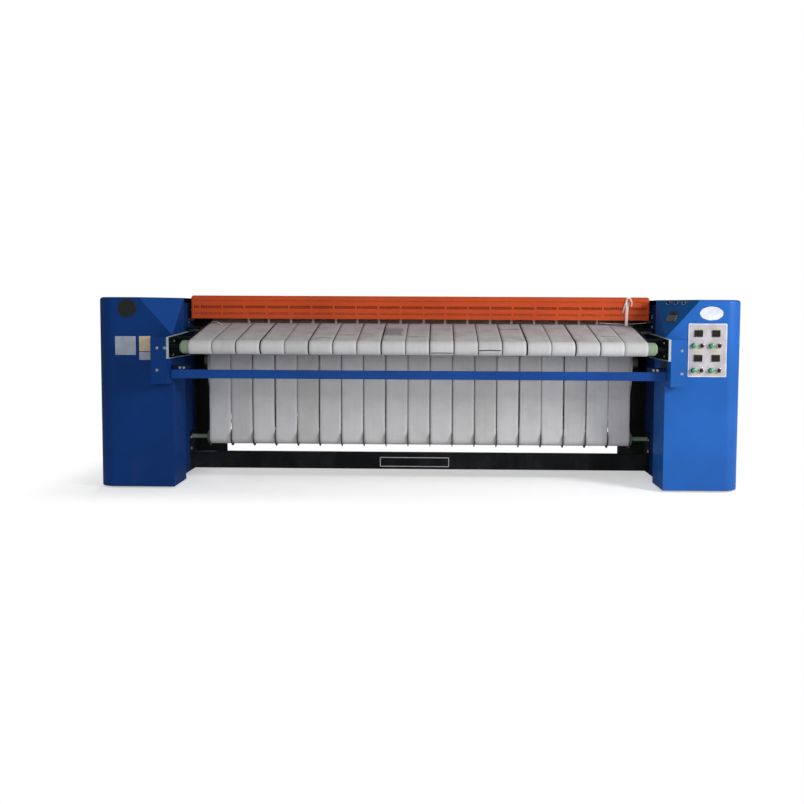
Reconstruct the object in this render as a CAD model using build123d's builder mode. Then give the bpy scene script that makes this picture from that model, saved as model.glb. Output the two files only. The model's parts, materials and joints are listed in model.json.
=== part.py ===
from build123d import *
import os
from math import asin, atan2, cos, hypot, pi, radians, sin

os.makedirs("parts", exist_ok=True)

# Flatwork ironer for bed linen.  One large heated drum lies between two end
# cabinets.  A set of wide fabric belts runs over the feed roller and the feed
# table, dives round the underside of the drum, comes up behind it and returns
# round two low rollers and a back-bend roller.  The linen is fed over the table
# at the front, pressed against the drum by the belts and leaves at the rear.
#
# X runs along the drum, the operator stands at -Y, Z is up.  The origin is the
# bottom centre of the whole machine.  A depth is measured back from the front
# face of the cabinets.

# ---- belts ------------------------------------------------------------------
belt_count = 19
belt_width = 150
belt_gap = 6
belt_thickness = 3
belt_pitch = belt_width + belt_gap
belts_half = (belt_count * belt_pitch - belt_gap) / 2

# ---- clearances -------------------------------------------------------------
running_gap = 0.3          # belt to roller, and pieces that pass each other
fit_gap = 0.05             # shaft in its bearing, spigot in its tube
seat_gap = 0.3             # piece that rests beside its seat

# ---- drum -------------------------------------------------------------------
drum_radius = 400
drum_wall = 10
drum_depth = 765
drum_height = 813
drum_overhang = 21         # drum past the outer belts, each end
head_thickness = 20
journal_radius = 60
head_boss_radius = 120
heater_count = 12
heater_radius = 9
heater_circle_radius = 335
drum_half = belts_half + drum_overhang

# ---- rollers, all turning about X -------------------------------------------
feed_roller_radius = 43
main_roller_radius = 47.5
bend_roller_radius = 25
bend_cap_radius = 20
roller_wall = 4
shaft_radius = 15
feed_roller_depth = -88
feed_roller_rise = 138     # above the drum's axis
feed_roller_overhang = 45
feed_cap_length = 14
feed_cap_radius = 30
roller_overhang = 16
cap_length = 10
spigot_length = 30
nip_angle = radians(31.4)  # press roller's place round the drum, above level
nip_gap = 9.4
front_run_gap = 28         # drum's belts to the upright run in front of them
lower_roller_height = 294
bend_roller_rise = 92
guide_ring_radius = 56
guide_ring_width = 4.5

nip_reach = drum_radius + main_roller_radius + nip_gap
belt_over_drum = drum_radius + running_gap + belt_thickness
front_run_depth = drum_depth - belt_over_drum - front_run_gap
feed_roller_height = drum_height + feed_roller_rise
bend_roller_height = drum_height + bend_roller_rise
feed_spot = (feed_roller_depth, feed_roller_height)
nip_spot = (drum_depth - nip_reach * cos(nip_angle), drum_height + nip_reach * sin(nip_angle))
rear_spot = (drum_depth + nip_reach * cos(nip_angle), drum_height + nip_reach * sin(nip_angle))
lower_rear_spot = (rear_spot[0], lower_roller_height)
lower_front_spot = (front_run_depth + running_gap + main_roller_radius, lower_roller_height)
bend_spot = (front_run_depth - running_gap - belt_thickness - bend_roller_radius, bend_roller_height)

# ---- end cabinets -----------------------------------------------------------
bay_end_room = 143         # outer belt to the cabinet, each end
cabinet_width = 518
cover_sheet = 2
cover_lift = 12            # cover's lower edge above the floor
edge_radius = 118          # upright outer front edge
rear_edge_radius = 60
top_edge_radius = 20
corner_cut_x = 223         # sloping inner front corner, along the top edge
corner_cut_y = 242         # the same, back along the inner edge
corner_cut_z = 249         # the same, down the inner edge
flange_depth = 250         # cover's inner wall, from the front face
cover_split = 420          # joint between front and rear covers
hood_headroom = 80         # drum's top to the top of the hood
hood_rise = 20             # hood's top above the cabinets
tie_clearance = 34
tie_size = 60
tie_wall = 4
tie_to_back = 30

bay_half = belts_half + bay_end_room
hood_top = drum_height + drum_radius + hood_headroom
cabinet_height = hood_top - hood_rise
rear_run_depth = rear_spot[0] + main_roller_radius + running_gap + belt_thickness
tie_depth = rear_run_depth + tie_clearance
cabinet_depth = tie_depth + tie_size + tie_to_back
outer_half = bay_half + cabinet_width

# ---- frames under the covers ------------------------------------------------
frame_plate = 10
frame_foot = 60
frame_setback = 30         # plate's front and rear edges inside the covers
frame_drop = 33            # plate's top edge below the cabinet's top
shaft_room = 3             # round a shaft in its plate
journal_room = 5
tray_height = 40
tray_sheet = 4
foot_height = 50
foot_radius = 40
foot_pad = 12
foot_stud = 10
foot_nut = 18
foot_nut_height = 12
foot_inset = 90
frame_inner = bay_half + cover_sheet
frame_outer = frame_inner + frame_plate

# ---- feed end ---------------------------------------------------------------
bracket_proud = 125
bracket_width = 102
bracket_sheet = 3
bracket_over_roller = 64    # roller's axis to the bracket's top
bracket_height = 305
side_plate_sheet = 4
side_plate_rim = 12
side_plate_drop = 76        # below the roller's axis
side_plate_end = 330
side_plate_rise = 29
table_sheet = 3
table_gap = 1
table_lip = 18
table_from_roller = 6
table_overhang = 24
table_tube_radius = 10
table_tube_wall = 2
table_weld = 0.5
front_tube_place = 110     # along the slope from the feed roller
rear_tube_place = 26       # from the table's upper edge
bracket_top = feed_roller_height + bracket_over_roller
bracket_bottom = bracket_top - bracket_height
side_plate_bottom = feed_roller_height - side_plate_drop

# ---- the whole ---------------------------------------------------------------
feed_front = feed_roller_depth - feed_roller_radius - running_gap - belt_thickness
face_y = -(cabinet_depth + feed_front) / 2
drum_y = face_y + drum_depth


def axis_through(spot):
    """The line along X through a place given as depth and height."""
    return Axis((0, face_y + spot[0], spot[1]), (1, 0, 0))


def section_at(spot):
    """Drawing plane of a turned piece: X along the axis, second way up."""
    return Plane(origin=(0, face_y + spot[0], spot[1]), x_dir=(1, 0, 0), z_dir=(0, -1, 0))


def upright(x):
    """Plane across the machine at x, drawn in world Y and Z."""
    return Plane.YZ.offset(x)


def belt_path(wheels, offset):
    """Closed line round the wheels, offset outwards from the belt's inner face.

    A wheel is (depth, height, radius, side): side -1 inside the loop, 1 outside.
    """
    rims = []
    for depth, height, radius, side in wheels:
        face = radius + running_gap
        face += offset if side < 0 else belt_thickness - offset
        rims.append((face_y + depth, height, face, side))
    leave, arrive = [], []
    for here, there in zip(rims, rims[1:] + rims[:1]):
        span = hypot(there[0] - here[0], there[1] - here[1])
        rise = there[3] * there[2] - here[3] * here[2]
        run = atan2(there[1] - here[1], there[0] - here[0]) - asin(rise / span)
        across = Vector(-sin(run), cos(run))
        leave.append(Vector(here[0], here[1]) - across * (here[3] * here[2]))
        arrive.append(Vector(there[0], there[1]) - across * (there[3] * there[2]))
    arrive = arrive[-1:] + arrive[:-1]
    path = []
    for index, (y, z, radius, side) in enumerate(rims):
        centre = Vector(y, z)
        first = atan2(arrive[index].Y - z, arrive[index].X - y)
        last = atan2(leave[index].Y - z, leave[index].X - y)
        middle = first + side * ((side * (last - first)) % (2 * pi)) / 2
        crown = centre + Vector(cos(middle), sin(middle)) * radius
        path.append(Edge.make_three_point_arc(arrive[index], crown, leave[index]))
        path.append(Edge.make_line(leave[index], arrive[(index + 1) % len(rims)]))
    return path


def both_ends(piece):
    """The right-hand piece and its mirror image at the left."""
    with BuildPart() as pair:
        add(piece)
        mirror(piece, about=Plane.YZ)
    return pair


# ---- cabinet covers ----------------------------------------------------------
facet_a = Vector(bay_half + corner_cut_x, face_y, cabinet_height)
facet_b = Vector(bay_half, face_y, cabinet_height - corner_cut_z)
facet_c = Vector(bay_half, face_y + corner_cut_y, cabinet_height)
facet = Plane(
    origin=(facet_a + facet_c) / 2,
    x_dir=facet_a - facet_c,
    z_dir=(facet_c - facet_a).cross(facet_b - facet_a),
)


def cabinet_form(inset, bottom):
    """Closed form of the right-hand cabinet, each wall moved in by inset."""
    with BuildPart() as form:
        with BuildSketch(Plane.XY.offset(bottom)) as outline:
            with Locations((bay_half + cabinet_width / 2, face_y + cabinet_depth / 2)):
                Rectangle(cabinet_width - 2 * inset, cabinet_depth - 2 * inset)
            outer = outline.vertices().group_by(Axis.X)[-1].sort_by(Axis.Y)
            fillet(outer[0], edge_radius - inset)
            rear = outline.vertices().group_by(Axis.X)[-1].sort_by(Axis.Y)[-1]
            fillet(rear, rear_edge_radius - inset)
        extrude(amount=cabinet_height - inset - bottom)
        top = form.faces().sort_by(Axis.Z)[-1]
        bay_edge = top.edges().sort_by(Axis.X)[0]
        fillet([edge for edge in top.edges() if edge != bay_edge], top_edge_radius - inset)
        split(bisect_by=facet.offset(-inset), keep=Keep.BOTTOM)
    return form.part


with BuildPart() as cabinet_skin:
    add(cabinet_form(0, cover_lift))
    add(cabinet_form(cover_sheet, cover_lift - cover_sheet), mode=Mode.SUBTRACT)
    with BuildSketch(Plane.XY.offset(cover_lift)):
        with Locations((bay_half, face_y + flange_depth)):
            Rectangle(2 * cover_sheet, cabinet_depth - flange_depth, align=(Align.CENTER, Align.MIN))
    extrude(amount=cabinet_height, mode=Mode.SUBTRACT)

split_plane = Plane.XZ.offset(-(face_y + cover_split))
with BuildPart() as right_front_cover:
    add(cabinet_skin.part)
    split(bisect_by=split_plane, keep=Keep.TOP)

# The rear cover's outer wall has a wide opening behind its lift-off panel.
panel_margin = 80
panel_lip = 15
panel_gap = 1
panel_over_tray = 20
panel_corner = 12
louvre_count = 9
louvre_spacing = 34
louvre_width = 300
louvre_height = 9
panel_front = face_y + cover_split + panel_margin
panel_back = face_y + cabinet_depth - rear_edge_radius - panel_margin
panel_top = cabinet_height - top_edge_radius - panel_margin
panel_bottom = foot_height + tray_height + panel_over_tray
panel_size = (panel_back - panel_front, panel_top - panel_bottom)
panel_centre = ((panel_back + panel_front) / 2, (panel_top + panel_bottom) / 2)

with BuildPart() as right_rear_cover:
    add(cabinet_skin.part)
    split(bisect_by=split_plane, keep=Keep.BOTTOM)
    with BuildSketch(upright(outer_half - 2 * cover_sheet)):
        with Locations(panel_centre):
            RectangleRounded(*panel_size, panel_corner)
    extrude(amount=3 * cover_sheet, mode=Mode.SUBTRACT)

with BuildPart() as right_side_panel:
    with BuildSketch(upright(outer_half - cover_sheet)):
        with Locations(panel_centre):
            RectangleRounded(panel_size[0] - 2 * panel_gap, panel_size[1] - 2 * panel_gap, panel_corner)
    extrude(amount=cover_sheet)
    with BuildSketch(upright(outer_half - 2 * cover_sheet)):
        with Locations(panel_centre):
            RectangleRounded(panel_size[0] + 2 * panel_lip, panel_size[1] + 2 * panel_lip, panel_corner)
    extrude(amount=cover_sheet)
    with BuildSketch(upright(outer_half - 2 * cover_sheet)):
        louvre_z = panel_bottom + louvre_count * louvre_spacing
        with Locations((panel_centre[0], louvre_z)):
            with GridLocations(0, louvre_spacing, 1, louvre_count):
                Rectangle(louvre_width, louvre_height)
    extrude(amount=2 * cover_sheet, mode=Mode.SUBTRACT)

with BuildPart() as left_front_cover:
    mirror(right_front_cover.part, about=Plane.YZ)
with BuildPart() as left_rear_cover:
    mirror(right_rear_cover.part, about=Plane.YZ)
side_panels = both_ends(right_side_panel.part)

# ---- side frames, trays and feet ---------------------------------------------
frame_front = face_y + frame_setback
frame_back = face_y + cabinet_depth - frame_setback
frame_top = cabinet_height - frame_drop
cut_slope = corner_cut_z / corner_cut_y
slope_start = cabinet_height - corner_cut_z - frame_drop + cut_slope * frame_setback
shaft_hole = shaft_radius + shaft_room
journal_hole = journal_radius + journal_room

with BuildPart() as right_side_frame:
    with BuildSketch(upright(frame_inner)):
        with BuildLine():
            Polyline(
                (frame_front, foot_height),
                (frame_front, slope_start),
                (frame_front + (frame_top - slope_start) / cut_slope, frame_top),
                (frame_back, frame_top),
                (frame_back, foot_height),
                close=True,
            )
        make_face()
        for spot in (nip_spot, rear_spot, lower_rear_spot, lower_front_spot, bend_spot):
            with Locations((face_y + spot[0], spot[1])):
                Circle(shaft_hole, mode=Mode.SUBTRACT)
        with Locations((drum_y, drum_height)):
            Circle(journal_hole, mode=Mode.SUBTRACT)
    extrude(amount=frame_plate)
    with BuildSketch(Plane.XY.offset(foot_height + tray_sheet)):
        with Locations((frame_outer, (frame_front + frame_back) / 2)):
            foot_length = frame_back - frame_front - 2 * frame_setback
            Rectangle(frame_foot, foot_length, align=(Align.MIN, Align.CENTER))
    extrude(amount=frame_plate)

with BuildPart() as left_side_frame:
    mirror(right_side_frame.part, about=Plane.YZ)

tray_width = outer_half - cover_sheet - frame_outer
tray_depth = cabinet_depth - 2 * cover_sheet


def tray_outline(inset):
    """Tray's plan inside the covers, drawn in the sketch that is open."""
    with BuildSketch(mode=Mode.PRIVATE) as plan:
        with Locations((frame_outer + tray_width / 2, face_y + cabinet_depth / 2)):
            Rectangle(tray_width - 2 * inset, tray_depth - 2 * inset)
        front = plan.vertices().group_by(Axis.X)[-1].sort_by(Axis.Y)[0]
        fillet(front, edge_radius - cover_sheet - inset)
        rear = plan.vertices().group_by(Axis.X)[-1].sort_by(Axis.Y)[-1]
        fillet(rear, rear_edge_radius - cover_sheet - inset)
    return plan.sketch


with BuildPart() as right_base_tray:
    with BuildSketch(Plane.XY.offset(foot_height)):
        add(tray_outline(0))
    extrude(amount=tray_height)
    with BuildSketch(Plane.XY.offset(foot_height + tray_sheet)):
        add(tray_outline(tray_sheet))
        with Locations((frame_outer, face_y + cabinet_depth / 2)):
            Rectangle(4 * tray_sheet, tray_depth - 2 * tray_sheet)
    extrude(amount=tray_height, mode=Mode.SUBTRACT)
base_trays = both_ends(right_base_tray.part)

foot_spots = [
    (x, y)
    for x in (frame_outer + foot_inset, outer_half - foot_inset)
    for y in (face_y + edge_radius + foot_inset, face_y + cabinet_depth - foot_inset)
]
with BuildPart() as right_feet:
    for spot in foot_spots:
        with BuildSketch(Plane(origin=(*spot, 0), x_dir=(1, 0, 0), z_dir=(0, -1, 0))):
            with BuildLine():
                Polyline(
                    (0, 0),
                    (foot_radius, 0),
                    (foot_radius, foot_pad / 2),
                    (foot_nut, foot_pad),
                    (foot_stud, foot_pad),
                    (foot_stud, foot_height - foot_nut_height),
                    (foot_nut, foot_height - foot_nut_height),
                    (foot_nut, foot_height),
                    (0, foot_height),
                    close=True,
                )
            make_face()
        revolve(axis=Axis((*spot, 0), (0, 0, 1)))
levelling_feet = both_ends(right_feet.part)

# ---- cross beams ---------------------------------------------------------------
beam_front_depth = 357
beam_bottom = 71
beam_height = 113
beam_width = 60
beam_wall = 6
end_plate = 8
end_plate_margin = 12
end_plate_top = 338
rear_beam_bottom = 100
rear_beam_height = 90


def channel_section(front, bottom, depth, height, wall):
    """C section open to the rear, drawn in the sketch that is open."""
    with Locations((front, bottom)):
        Rectangle(depth, height, align=Align.MIN)
    with Locations((front + wall, bottom + wall)):
        Rectangle(depth, height - 2 * wall, align=Align.MIN, mode=Mode.SUBTRACT)


with BuildPart() as lower_front_beam:
    beam_front = face_y + beam_front_depth
    with BuildSketch(upright(0)):
        channel_section(beam_front, beam_bottom, beam_width, beam_height, beam_wall)
    extrude(amount=frame_inner - end_plate, both=True)
    with BuildSketch(upright(frame_inner - end_plate)):
        with Locations((beam_front - end_plate_margin, beam_bottom)):
            Rectangle(beam_width + 2 * end_plate_margin, end_plate_top - beam_bottom, align=Align.MIN)
        with Locations((face_y + lower_front_spot[0], lower_roller_height)):
            Circle(shaft_hole, mode=Mode.SUBTRACT)
    plate = extrude(amount=end_plate)
    mirror(plate, about=Plane.YZ)

with BuildPart() as lower_rear_beam:
    rear_beam_front = face_y + tie_depth
    with BuildSketch(upright(0)):
        channel_section(rear_beam_front, rear_beam_bottom, tie_size, rear_beam_height, beam_wall)
    extrude(amount=frame_inner - end_plate, both=True)
    with BuildSketch(upright(frame_inner - end_plate)):
        with Locations((rear_beam_front - end_plate_margin, rear_beam_bottom - end_plate_margin)):
            Rectangle(
                tie_size + 2 * end_plate_margin, rear_beam_height + 2 * end_plate_margin, align=Align.MIN
            )
    plate = extrude(amount=end_plate)
    mirror(plate, about=Plane.YZ)

# ---- hood over the drum ----------------------------------------------------------
hood_sheet = 2
hood_front_depth = 312
hood_slot_height = 31      # belts on the press roller to the hood's lower edge
hood_bend = 28
hood_end_bend = 14
hood_lip = 18
hood_end_gap = 24
hood_rear_drop = 34
hinge_drop = 20
hinge_behind = 12
hinge_pin = 6
knuckle_radius = 11
knuckle_length = 36
knuckle_over_tie = 3
hinge_count = 3
hinge_spacing = 1250
tape_bar_behind = 90       # hood's front to the tape bar
tape_bar_rise = 57         # hood's lower edge to the tape bar
tape_bar_radius = 8
notch_room = 12            # round the tape bar in the hood's ends
slot_row_spacing = 45
slot_heights = (12, 24, 20)      # rows from the top down
slot_row_drop = 34.5       # hood's top to the first row's middle
slot_length = 122

hood_half = bay_half - hood_end_gap
hood_front = face_y + hood_front_depth
hood_bottom = nip_spot[1] + main_roller_radius + running_gap + belt_thickness + hood_slot_height
tape_bar_depth = hood_front_depth + tape_bar_behind
tape_bar_height = hood_bottom + tape_bar_rise
hood_rear = face_y + tie_depth
hinge_y = hood_rear + hinge_behind
hinge_z = hood_top - hinge_drop
hinge_xs = [(index - (hinge_count - 1) / 2) * hinge_spacing for index in range(hinge_count)]


def hood_outline(inset):
    """The folded sheet's outer line, moved in by inset, in the open sketch."""
    with BuildSketch(mode=Mode.PRIVATE) as side:
        with Locations((hood_front + inset, hood_bottom)):
            Rectangle(hood_rear - hood_front - 2 * inset, hood_top - inset - hood_bottom, align=Align.MIN)
        fillet(side.vertices().group_by(Axis.Y)[-1].sort_by(Axis.X)[0], hood_bend - inset)
    return side.sketch


with BuildPart() as drum_hood:
    with BuildSketch(upright(0)):
        add(hood_outline(0))
    extrude(amount=hood_half, both=True)
    ends = drum_hood.faces().filter_by(Axis.X)
    fillet([edge for face in ends for edge in face.edges().group_by(Axis.Z)[-1]], hood_end_bend)
    with BuildSketch(upright(0)):
        add(hood_outline(hood_sheet))
    extrude(amount=hood_half - hood_sheet, both=True, mode=Mode.SUBTRACT)
    # rear wall ends high, so that the linen can leave under it
    with BuildSketch(upright(0)):
        with Locations((hood_rear, hood_bottom)):
            Rectangle(
                2 * hood_bend, hood_top - hood_rear_drop - hood_bottom, align=(Align.CENTER, Align.MIN)
            )
    extrude(amount=hood_half, both=True, mode=Mode.SUBTRACT)
    with BuildSketch(upright(0)):
        with Locations((hood_front, hood_bottom)):
            Rectangle(hood_lip, hood_sheet, align=Align.MIN)
    extrude(amount=hood_half, both=True)
    with BuildSketch(upright(0)):
        with Locations((face_y + tape_bar_depth, tape_bar_height + tape_bar_radius + notch_room)):
            Rectangle(
                2 * (tape_bar_radius + notch_room), hood_top - hood_bottom, align=(Align.CENTER, Align.MAX)
            )
    extrude(amount=hood_half, both=True, mode=Mode.SUBTRACT)
    with BuildSketch(Plane.XZ.offset(-hood_front)):
        for row, slot_height in enumerate(slot_heights):
            with Locations((0, hood_top - slot_row_drop - row * slot_row_spacing)):
                with GridLocations(belt_pitch, 0, belt_count, 1):
                    Rectangle(slot_length, slot_height)
    extrude(amount=-2 * hood_sheet, mode=Mode.SUBTRACT)
    for x in hinge_xs:
        for side in (-1, 1):
            outer = x + side * (knuckle_length + seat_gap)
            with BuildSketch(upright(outer - knuckle_length / 2)):
                with Locations((hinge_y, hinge_z)):
                    Circle(knuckle_radius)
                with Locations((hinge_y, hinge_z)):
                    Rectangle(
                        hinge_behind + hood_sheet, 2 * knuckle_radius, align=(Align.MAX, Align.CENTER)
                    )
                with Locations((hinge_y, hinge_z)):
                    Circle(hinge_pin + fit_gap, mode=Mode.SUBTRACT)
            extrude(amount=knuckle_length)

with BuildPart() as upper_rear_tie:
    tie_top = hinge_z - knuckle_radius - knuckle_over_tie
    with BuildSketch(upright(0)):
        with Locations((face_y + tie_depth, tie_top - tie_size)):
            Rectangle(tie_size, tie_size, align=Align.MIN)
        with Locations((face_y + tie_depth + tie_wall, tie_top - tie_size + tie_wall)):
            Rectangle(tie_size - 2 * tie_wall, tie_size - 2 * tie_wall, align=Align.MIN, mode=Mode.SUBTRACT)
    extrude(amount=frame_inner, both=True)
    for x in hinge_xs:
        with BuildSketch(upright(x - knuckle_length / 2)):
            with Locations((hinge_y, hinge_z)):
                Circle(knuckle_radius)
            with Locations((hinge_y, tie_top)):
                Rectangle(2 * knuckle_radius, hinge_z - tie_top, align=(Align.CENTER, Align.MIN))
        extrude(amount=knuckle_length)
        with BuildSketch(upright(x)):
            with Locations((hinge_y, hinge_z)):
                Circle(hinge_pin)
        extrude(amount=1.5 * knuckle_length + 2 * seat_gap, both=True)

with BuildPart() as right_hood_rest:
    rest_radius = 10
    with BuildSketch(upright(frame_inner)):
        with Locations((hood_front + hood_lip / 2, hood_bottom - rest_radius - seat_gap)):
            Circle(rest_radius)
    extrude(amount=-(frame_inner - hood_half + hood_lip))
hood_rests = both_ends(right_hood_rest.part)

# ---- strip tapes behind the hood's lower edge --------------------------------------
tape_width = 17
tape_thickness = 1.2
tape_offset = 28
tape_count = belt_count - 2

with BuildPart() as guide_tape_bar:
    with BuildSketch(upright(0)):
        with Locations((face_y + tape_bar_depth, tape_bar_height)):
            Circle(tape_bar_radius)
    extrude(amount=frame_inner, both=True)

with BuildPart() as guide_tapes:
    inner = tape_bar_radius + running_gap
    tape_reach = main_roller_radius + 2 * running_gap + belt_thickness
    tape_front = tape_bar_depth - inner - tape_thickness
    tape_end = nip_spot[1] + (tape_reach**2 - (tape_front - nip_spot[0]) ** 2) ** 0.5
    for index in range(tape_count):
        x = (index - (tape_count - 1) / 2) * belt_pitch + tape_offset
        with BuildSketch(upright(x - tape_width / 2)):
            with Locations((face_y + tape_bar_depth, tape_bar_height)):
                Circle(inner + tape_thickness)
                Circle(inner, mode=Mode.SUBTRACT)
            with Locations((face_y + tape_front, tape_end)):
                Rectangle(tape_thickness, tape_bar_height - tape_end, align=Align.MIN)
        extrude(amount=tape_width)

with BuildPart() as tie_tape:
    tie_x = 1450
    tie_width = 20
    tie_thickness = 2
    tie_tail = 38
    with BuildSketch(upright(tie_x - tie_width / 2)):
        with Locations((hood_front - seat_gap, hood_bottom - tie_tail)):
            tie_length = hood_top - hood_bend + tie_tail - hood_bottom
            Rectangle(tie_thickness, tie_length, align=(Align.MAX, Align.MIN))
    extrude(amount=tie_width)

# ---- feed table ------------------------------------------------------------------
plate_inner = bay_half - seat_gap - side_plate_sheet
plate_front = face_y - bracket_proud


def feed_plate_outline(inset):
    """Tapered side plate, moved in by inset, drawn in the sketch that is open."""
    back = face_y + side_plate_end
    Polygon(
        (plate_front + inset, side_plate_bottom + inset),
        (back, side_plate_bottom + inset),
        (back, bracket_top + side_plate_rise - inset),
        (plate_front + inset, bracket_top - inset),
        align=None,
    )


with BuildPart() as right_feed_side_plate:
    with BuildSketch(upright(plate_inner - side_plate_rim)):
        feed_plate_outline(0)
    extrude(amount=side_plate_rim + side_plate_sheet)
    with BuildSketch(upright(plate_inner - side_plate_rim)):
        feed_plate_outline(side_plate_sheet)
    extrude(amount=side_plate_rim, mode=Mode.SUBTRACT)
    with BuildSketch(upright(plate_inner)):
        for spot in (feed_spot, bend_spot):
            with Locations((face_y + spot[0], spot[1])):
                Circle(shaft_hole)
    extrude(amount=side_plate_sheet, mode=Mode.SUBTRACT)
feed_side_plates = both_ends(right_feed_side_plate.part)

with BuildPart() as right_feed_bracket:
    with BuildSketch(Plane.XY.offset(bracket_bottom)):
        with Locations((bay_half, plate_front)):
            Rectangle(bracket_width, bracket_proud, align=Align.MIN)
    extrude(amount=bracket_top - bracket_bottom)
    with BuildSketch(Plane.XY.offset(bracket_bottom)):
        with Locations((bay_half + bracket_sheet, plate_front + bracket_sheet)):
            Rectangle(bracket_width - 2 * bracket_sheet, bracket_proud, align=Align.MIN)
    extrude(amount=bracket_top - bracket_bottom - bracket_sheet, mode=Mode.SUBTRACT)
    with BuildSketch(upright(bay_half)):
        with Locations((face_y + feed_spot[0], feed_spot[1])):
            Circle(shaft_hole)
    extrude(amount=bracket_sheet, mode=Mode.SUBTRACT)
feed_brackets = both_ends(right_feed_bracket.part)

# The table lies just under the sloping upper run of the belts, on two tubes.
run_span = hypot(nip_spot[0] - feed_spot[0], nip_spot[1] - feed_spot[1])
run_lean = atan2(nip_spot[1] - feed_spot[1], nip_spot[0] - feed_spot[0]) + asin(
    (main_roller_radius - feed_roller_radius) / run_span
)
table_start = feed_roller_radius + table_from_roller
table_end = run_span - main_roller_radius - table_from_roller
table_rise = feed_roller_radius + running_gap - table_gap
table_plane = Plane(
    origin=(
        0,
        face_y + feed_spot[0] - table_rise * sin(run_lean),
        feed_spot[1] + table_rise * cos(run_lean),
    ),
    x_dir=(0, cos(run_lean), sin(run_lean)),
    z_dir=(1, 0, 0),
)
with BuildPart() as feed_slide_plate:
    with BuildSketch(table_plane):
        with Locations((table_start, 0)):
            Rectangle(table_end - table_start, table_sheet, align=(Align.MIN, Align.MAX))
        for end in (table_start, table_end - table_sheet):
            with Locations((end, 0)):
                Rectangle(table_sheet, table_lip, align=(Align.MIN, Align.MAX))
    extrude(amount=belts_half + table_overhang, both=True)
    for place, reach in ((front_tube_place, plate_inner), (table_end - rear_tube_place, frame_inner)):
        with BuildSketch(table_plane):
            with Locations((place, -table_sheet - table_tube_radius)):
                Circle(table_tube_radius + table_weld)
                Circle(table_tube_radius - table_tube_wall, mode=Mode.SUBTRACT)
        extrude(amount=reach, both=True)

# ---- rear slide ---------------------------------------------------------------------
slide_sheet = 3
slide_start_gap = 5
slide_drop = 150
with BuildPart() as delivery_slide:
    slide_front = face_y + rear_run_depth + slide_start_gap
    slide_top = rear_spot[1] + main_roller_radius / 2
    slide_back = face_y + cabinet_depth
    with BuildSketch(upright(0)):
        with BuildLine():
            Polyline(
                (slide_front, slide_top),
                (slide_back, slide_top - slide_drop),
                (slide_back, slide_top - slide_drop - slide_sheet),
                (slide_back - slide_sheet, slide_top - slide_drop - slide_sheet),
                (slide_front, slide_top - slide_sheet),
                close=True,
            )
        make_face()
    extrude(amount=frame_inner, both=True)

# ---- belts and rollers -----------------------------------------------------------------
inside, outside = -1, 1
wheels = [
    (*feed_spot, feed_roller_radius, inside),
    (*nip_spot, main_roller_radius, inside),
    (drum_depth, drum_height, drum_radius, outside),
    (*rear_spot, main_roller_radius, inside),
    (*lower_rear_spot, main_roller_radius, inside),
    (*lower_front_spot, main_roller_radius, inside),
    (*bend_spot, bend_roller_radius, outside),
]
with BuildPart() as ironing_belts:
    for index in range(belt_count):
        with BuildSketch(upright(index * belt_pitch - belts_half)):
            make_face(belt_path(wheels, belt_thickness))
            make_face(belt_path(wheels, 0), mode=Mode.SUBTRACT)
    extrude(amount=belt_width)

bearing_radius = 38
feed_bearing_radius = 32
bearing_length = 26
shaft_tail = 6
shaft_end = frame_outer + bearing_length + shaft_tail


def roller(spot, radius, half_length, cap, cap_radius, end, rings=()):
    """Tube with a shouldered plug and stub shaft against each end."""
    line = axis_through(spot)
    bore = radius - roller_wall
    with BuildPart() as turned:
        with BuildSketch(section_at(spot)):
            with Locations((0, bore)):
                Rectangle(2 * half_length, roller_wall, align=(Align.CENTER, Align.MIN))
            for ring in rings:
                with Locations((ring, bore)):
                    Rectangle(guide_ring_width, guide_ring_radius - bore, align=(Align.CENTER, Align.MIN))
        revolve(axis=line)
        shoulder = half_length + fit_gap
        with BuildSketch(section_at(spot)):
            with BuildLine():
                Polyline(
                    (half_length - spigot_length, 0),
                    (half_length - spigot_length, bore - fit_gap),
                    (shoulder, bore - fit_gap),
                    (shoulder, radius),
                    (shoulder + cap, cap_radius),
                    (shoulder + cap, shaft_radius),
                    (end, shaft_radius),
                    (end, 0),
                    close=True,
                )
            make_face()
        plug = revolve(axis=line)
        mirror(plug, about=Plane.YZ)
    return turned


front_feed_roller = roller(
    feed_spot,
    feed_roller_radius,
    belts_half + feed_roller_overhang,
    feed_cap_length,
    feed_cap_radius,
    bay_half + bracket_sheet + bearing_length,
)
roller_half = belts_half + roller_overhang
nip_roller = roller(nip_spot, main_roller_radius, roller_half, cap_length, feed_cap_radius, shaft_end)
rear_top_roller = roller(rear_spot, main_roller_radius, roller_half, cap_length, feed_cap_radius, shaft_end)
lower_rear_roller = roller(
    lower_rear_spot, main_roller_radius, roller_half, cap_length, feed_cap_radius, shaft_end
)
belt_gaps = [(index - (belt_count - 2) / 2) * belt_pitch for index in range(belt_count - 1)]
lower_front_roller = roller(
    lower_front_spot, main_roller_radius, roller_half, cap_length, feed_cap_radius, shaft_end, belt_gaps
)
belt_guide_roller = roller(
    bend_spot, bend_roller_radius, roller_half, cap_length, bend_cap_radius, shaft_end
)

with BuildPart() as right_roller_bearings:
    frame_spots = (nip_spot, rear_spot, lower_rear_spot, lower_front_spot, bend_spot)
    seats = [(spot, frame_outer, bearing_radius) for spot in frame_spots]
    seats.append((feed_spot, bay_half + bracket_sheet, feed_bearing_radius))
    for spot, seat_x, housing in seats:
        with BuildSketch(upright(seat_x)):
            with Locations((face_y + spot[0], spot[1])):
                Circle(housing)
                Circle(shaft_radius + fit_gap, mode=Mode.SUBTRACT)
        extrude(amount=bearing_length)
roller_bearings = both_ends(right_roller_bearings.part)

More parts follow.
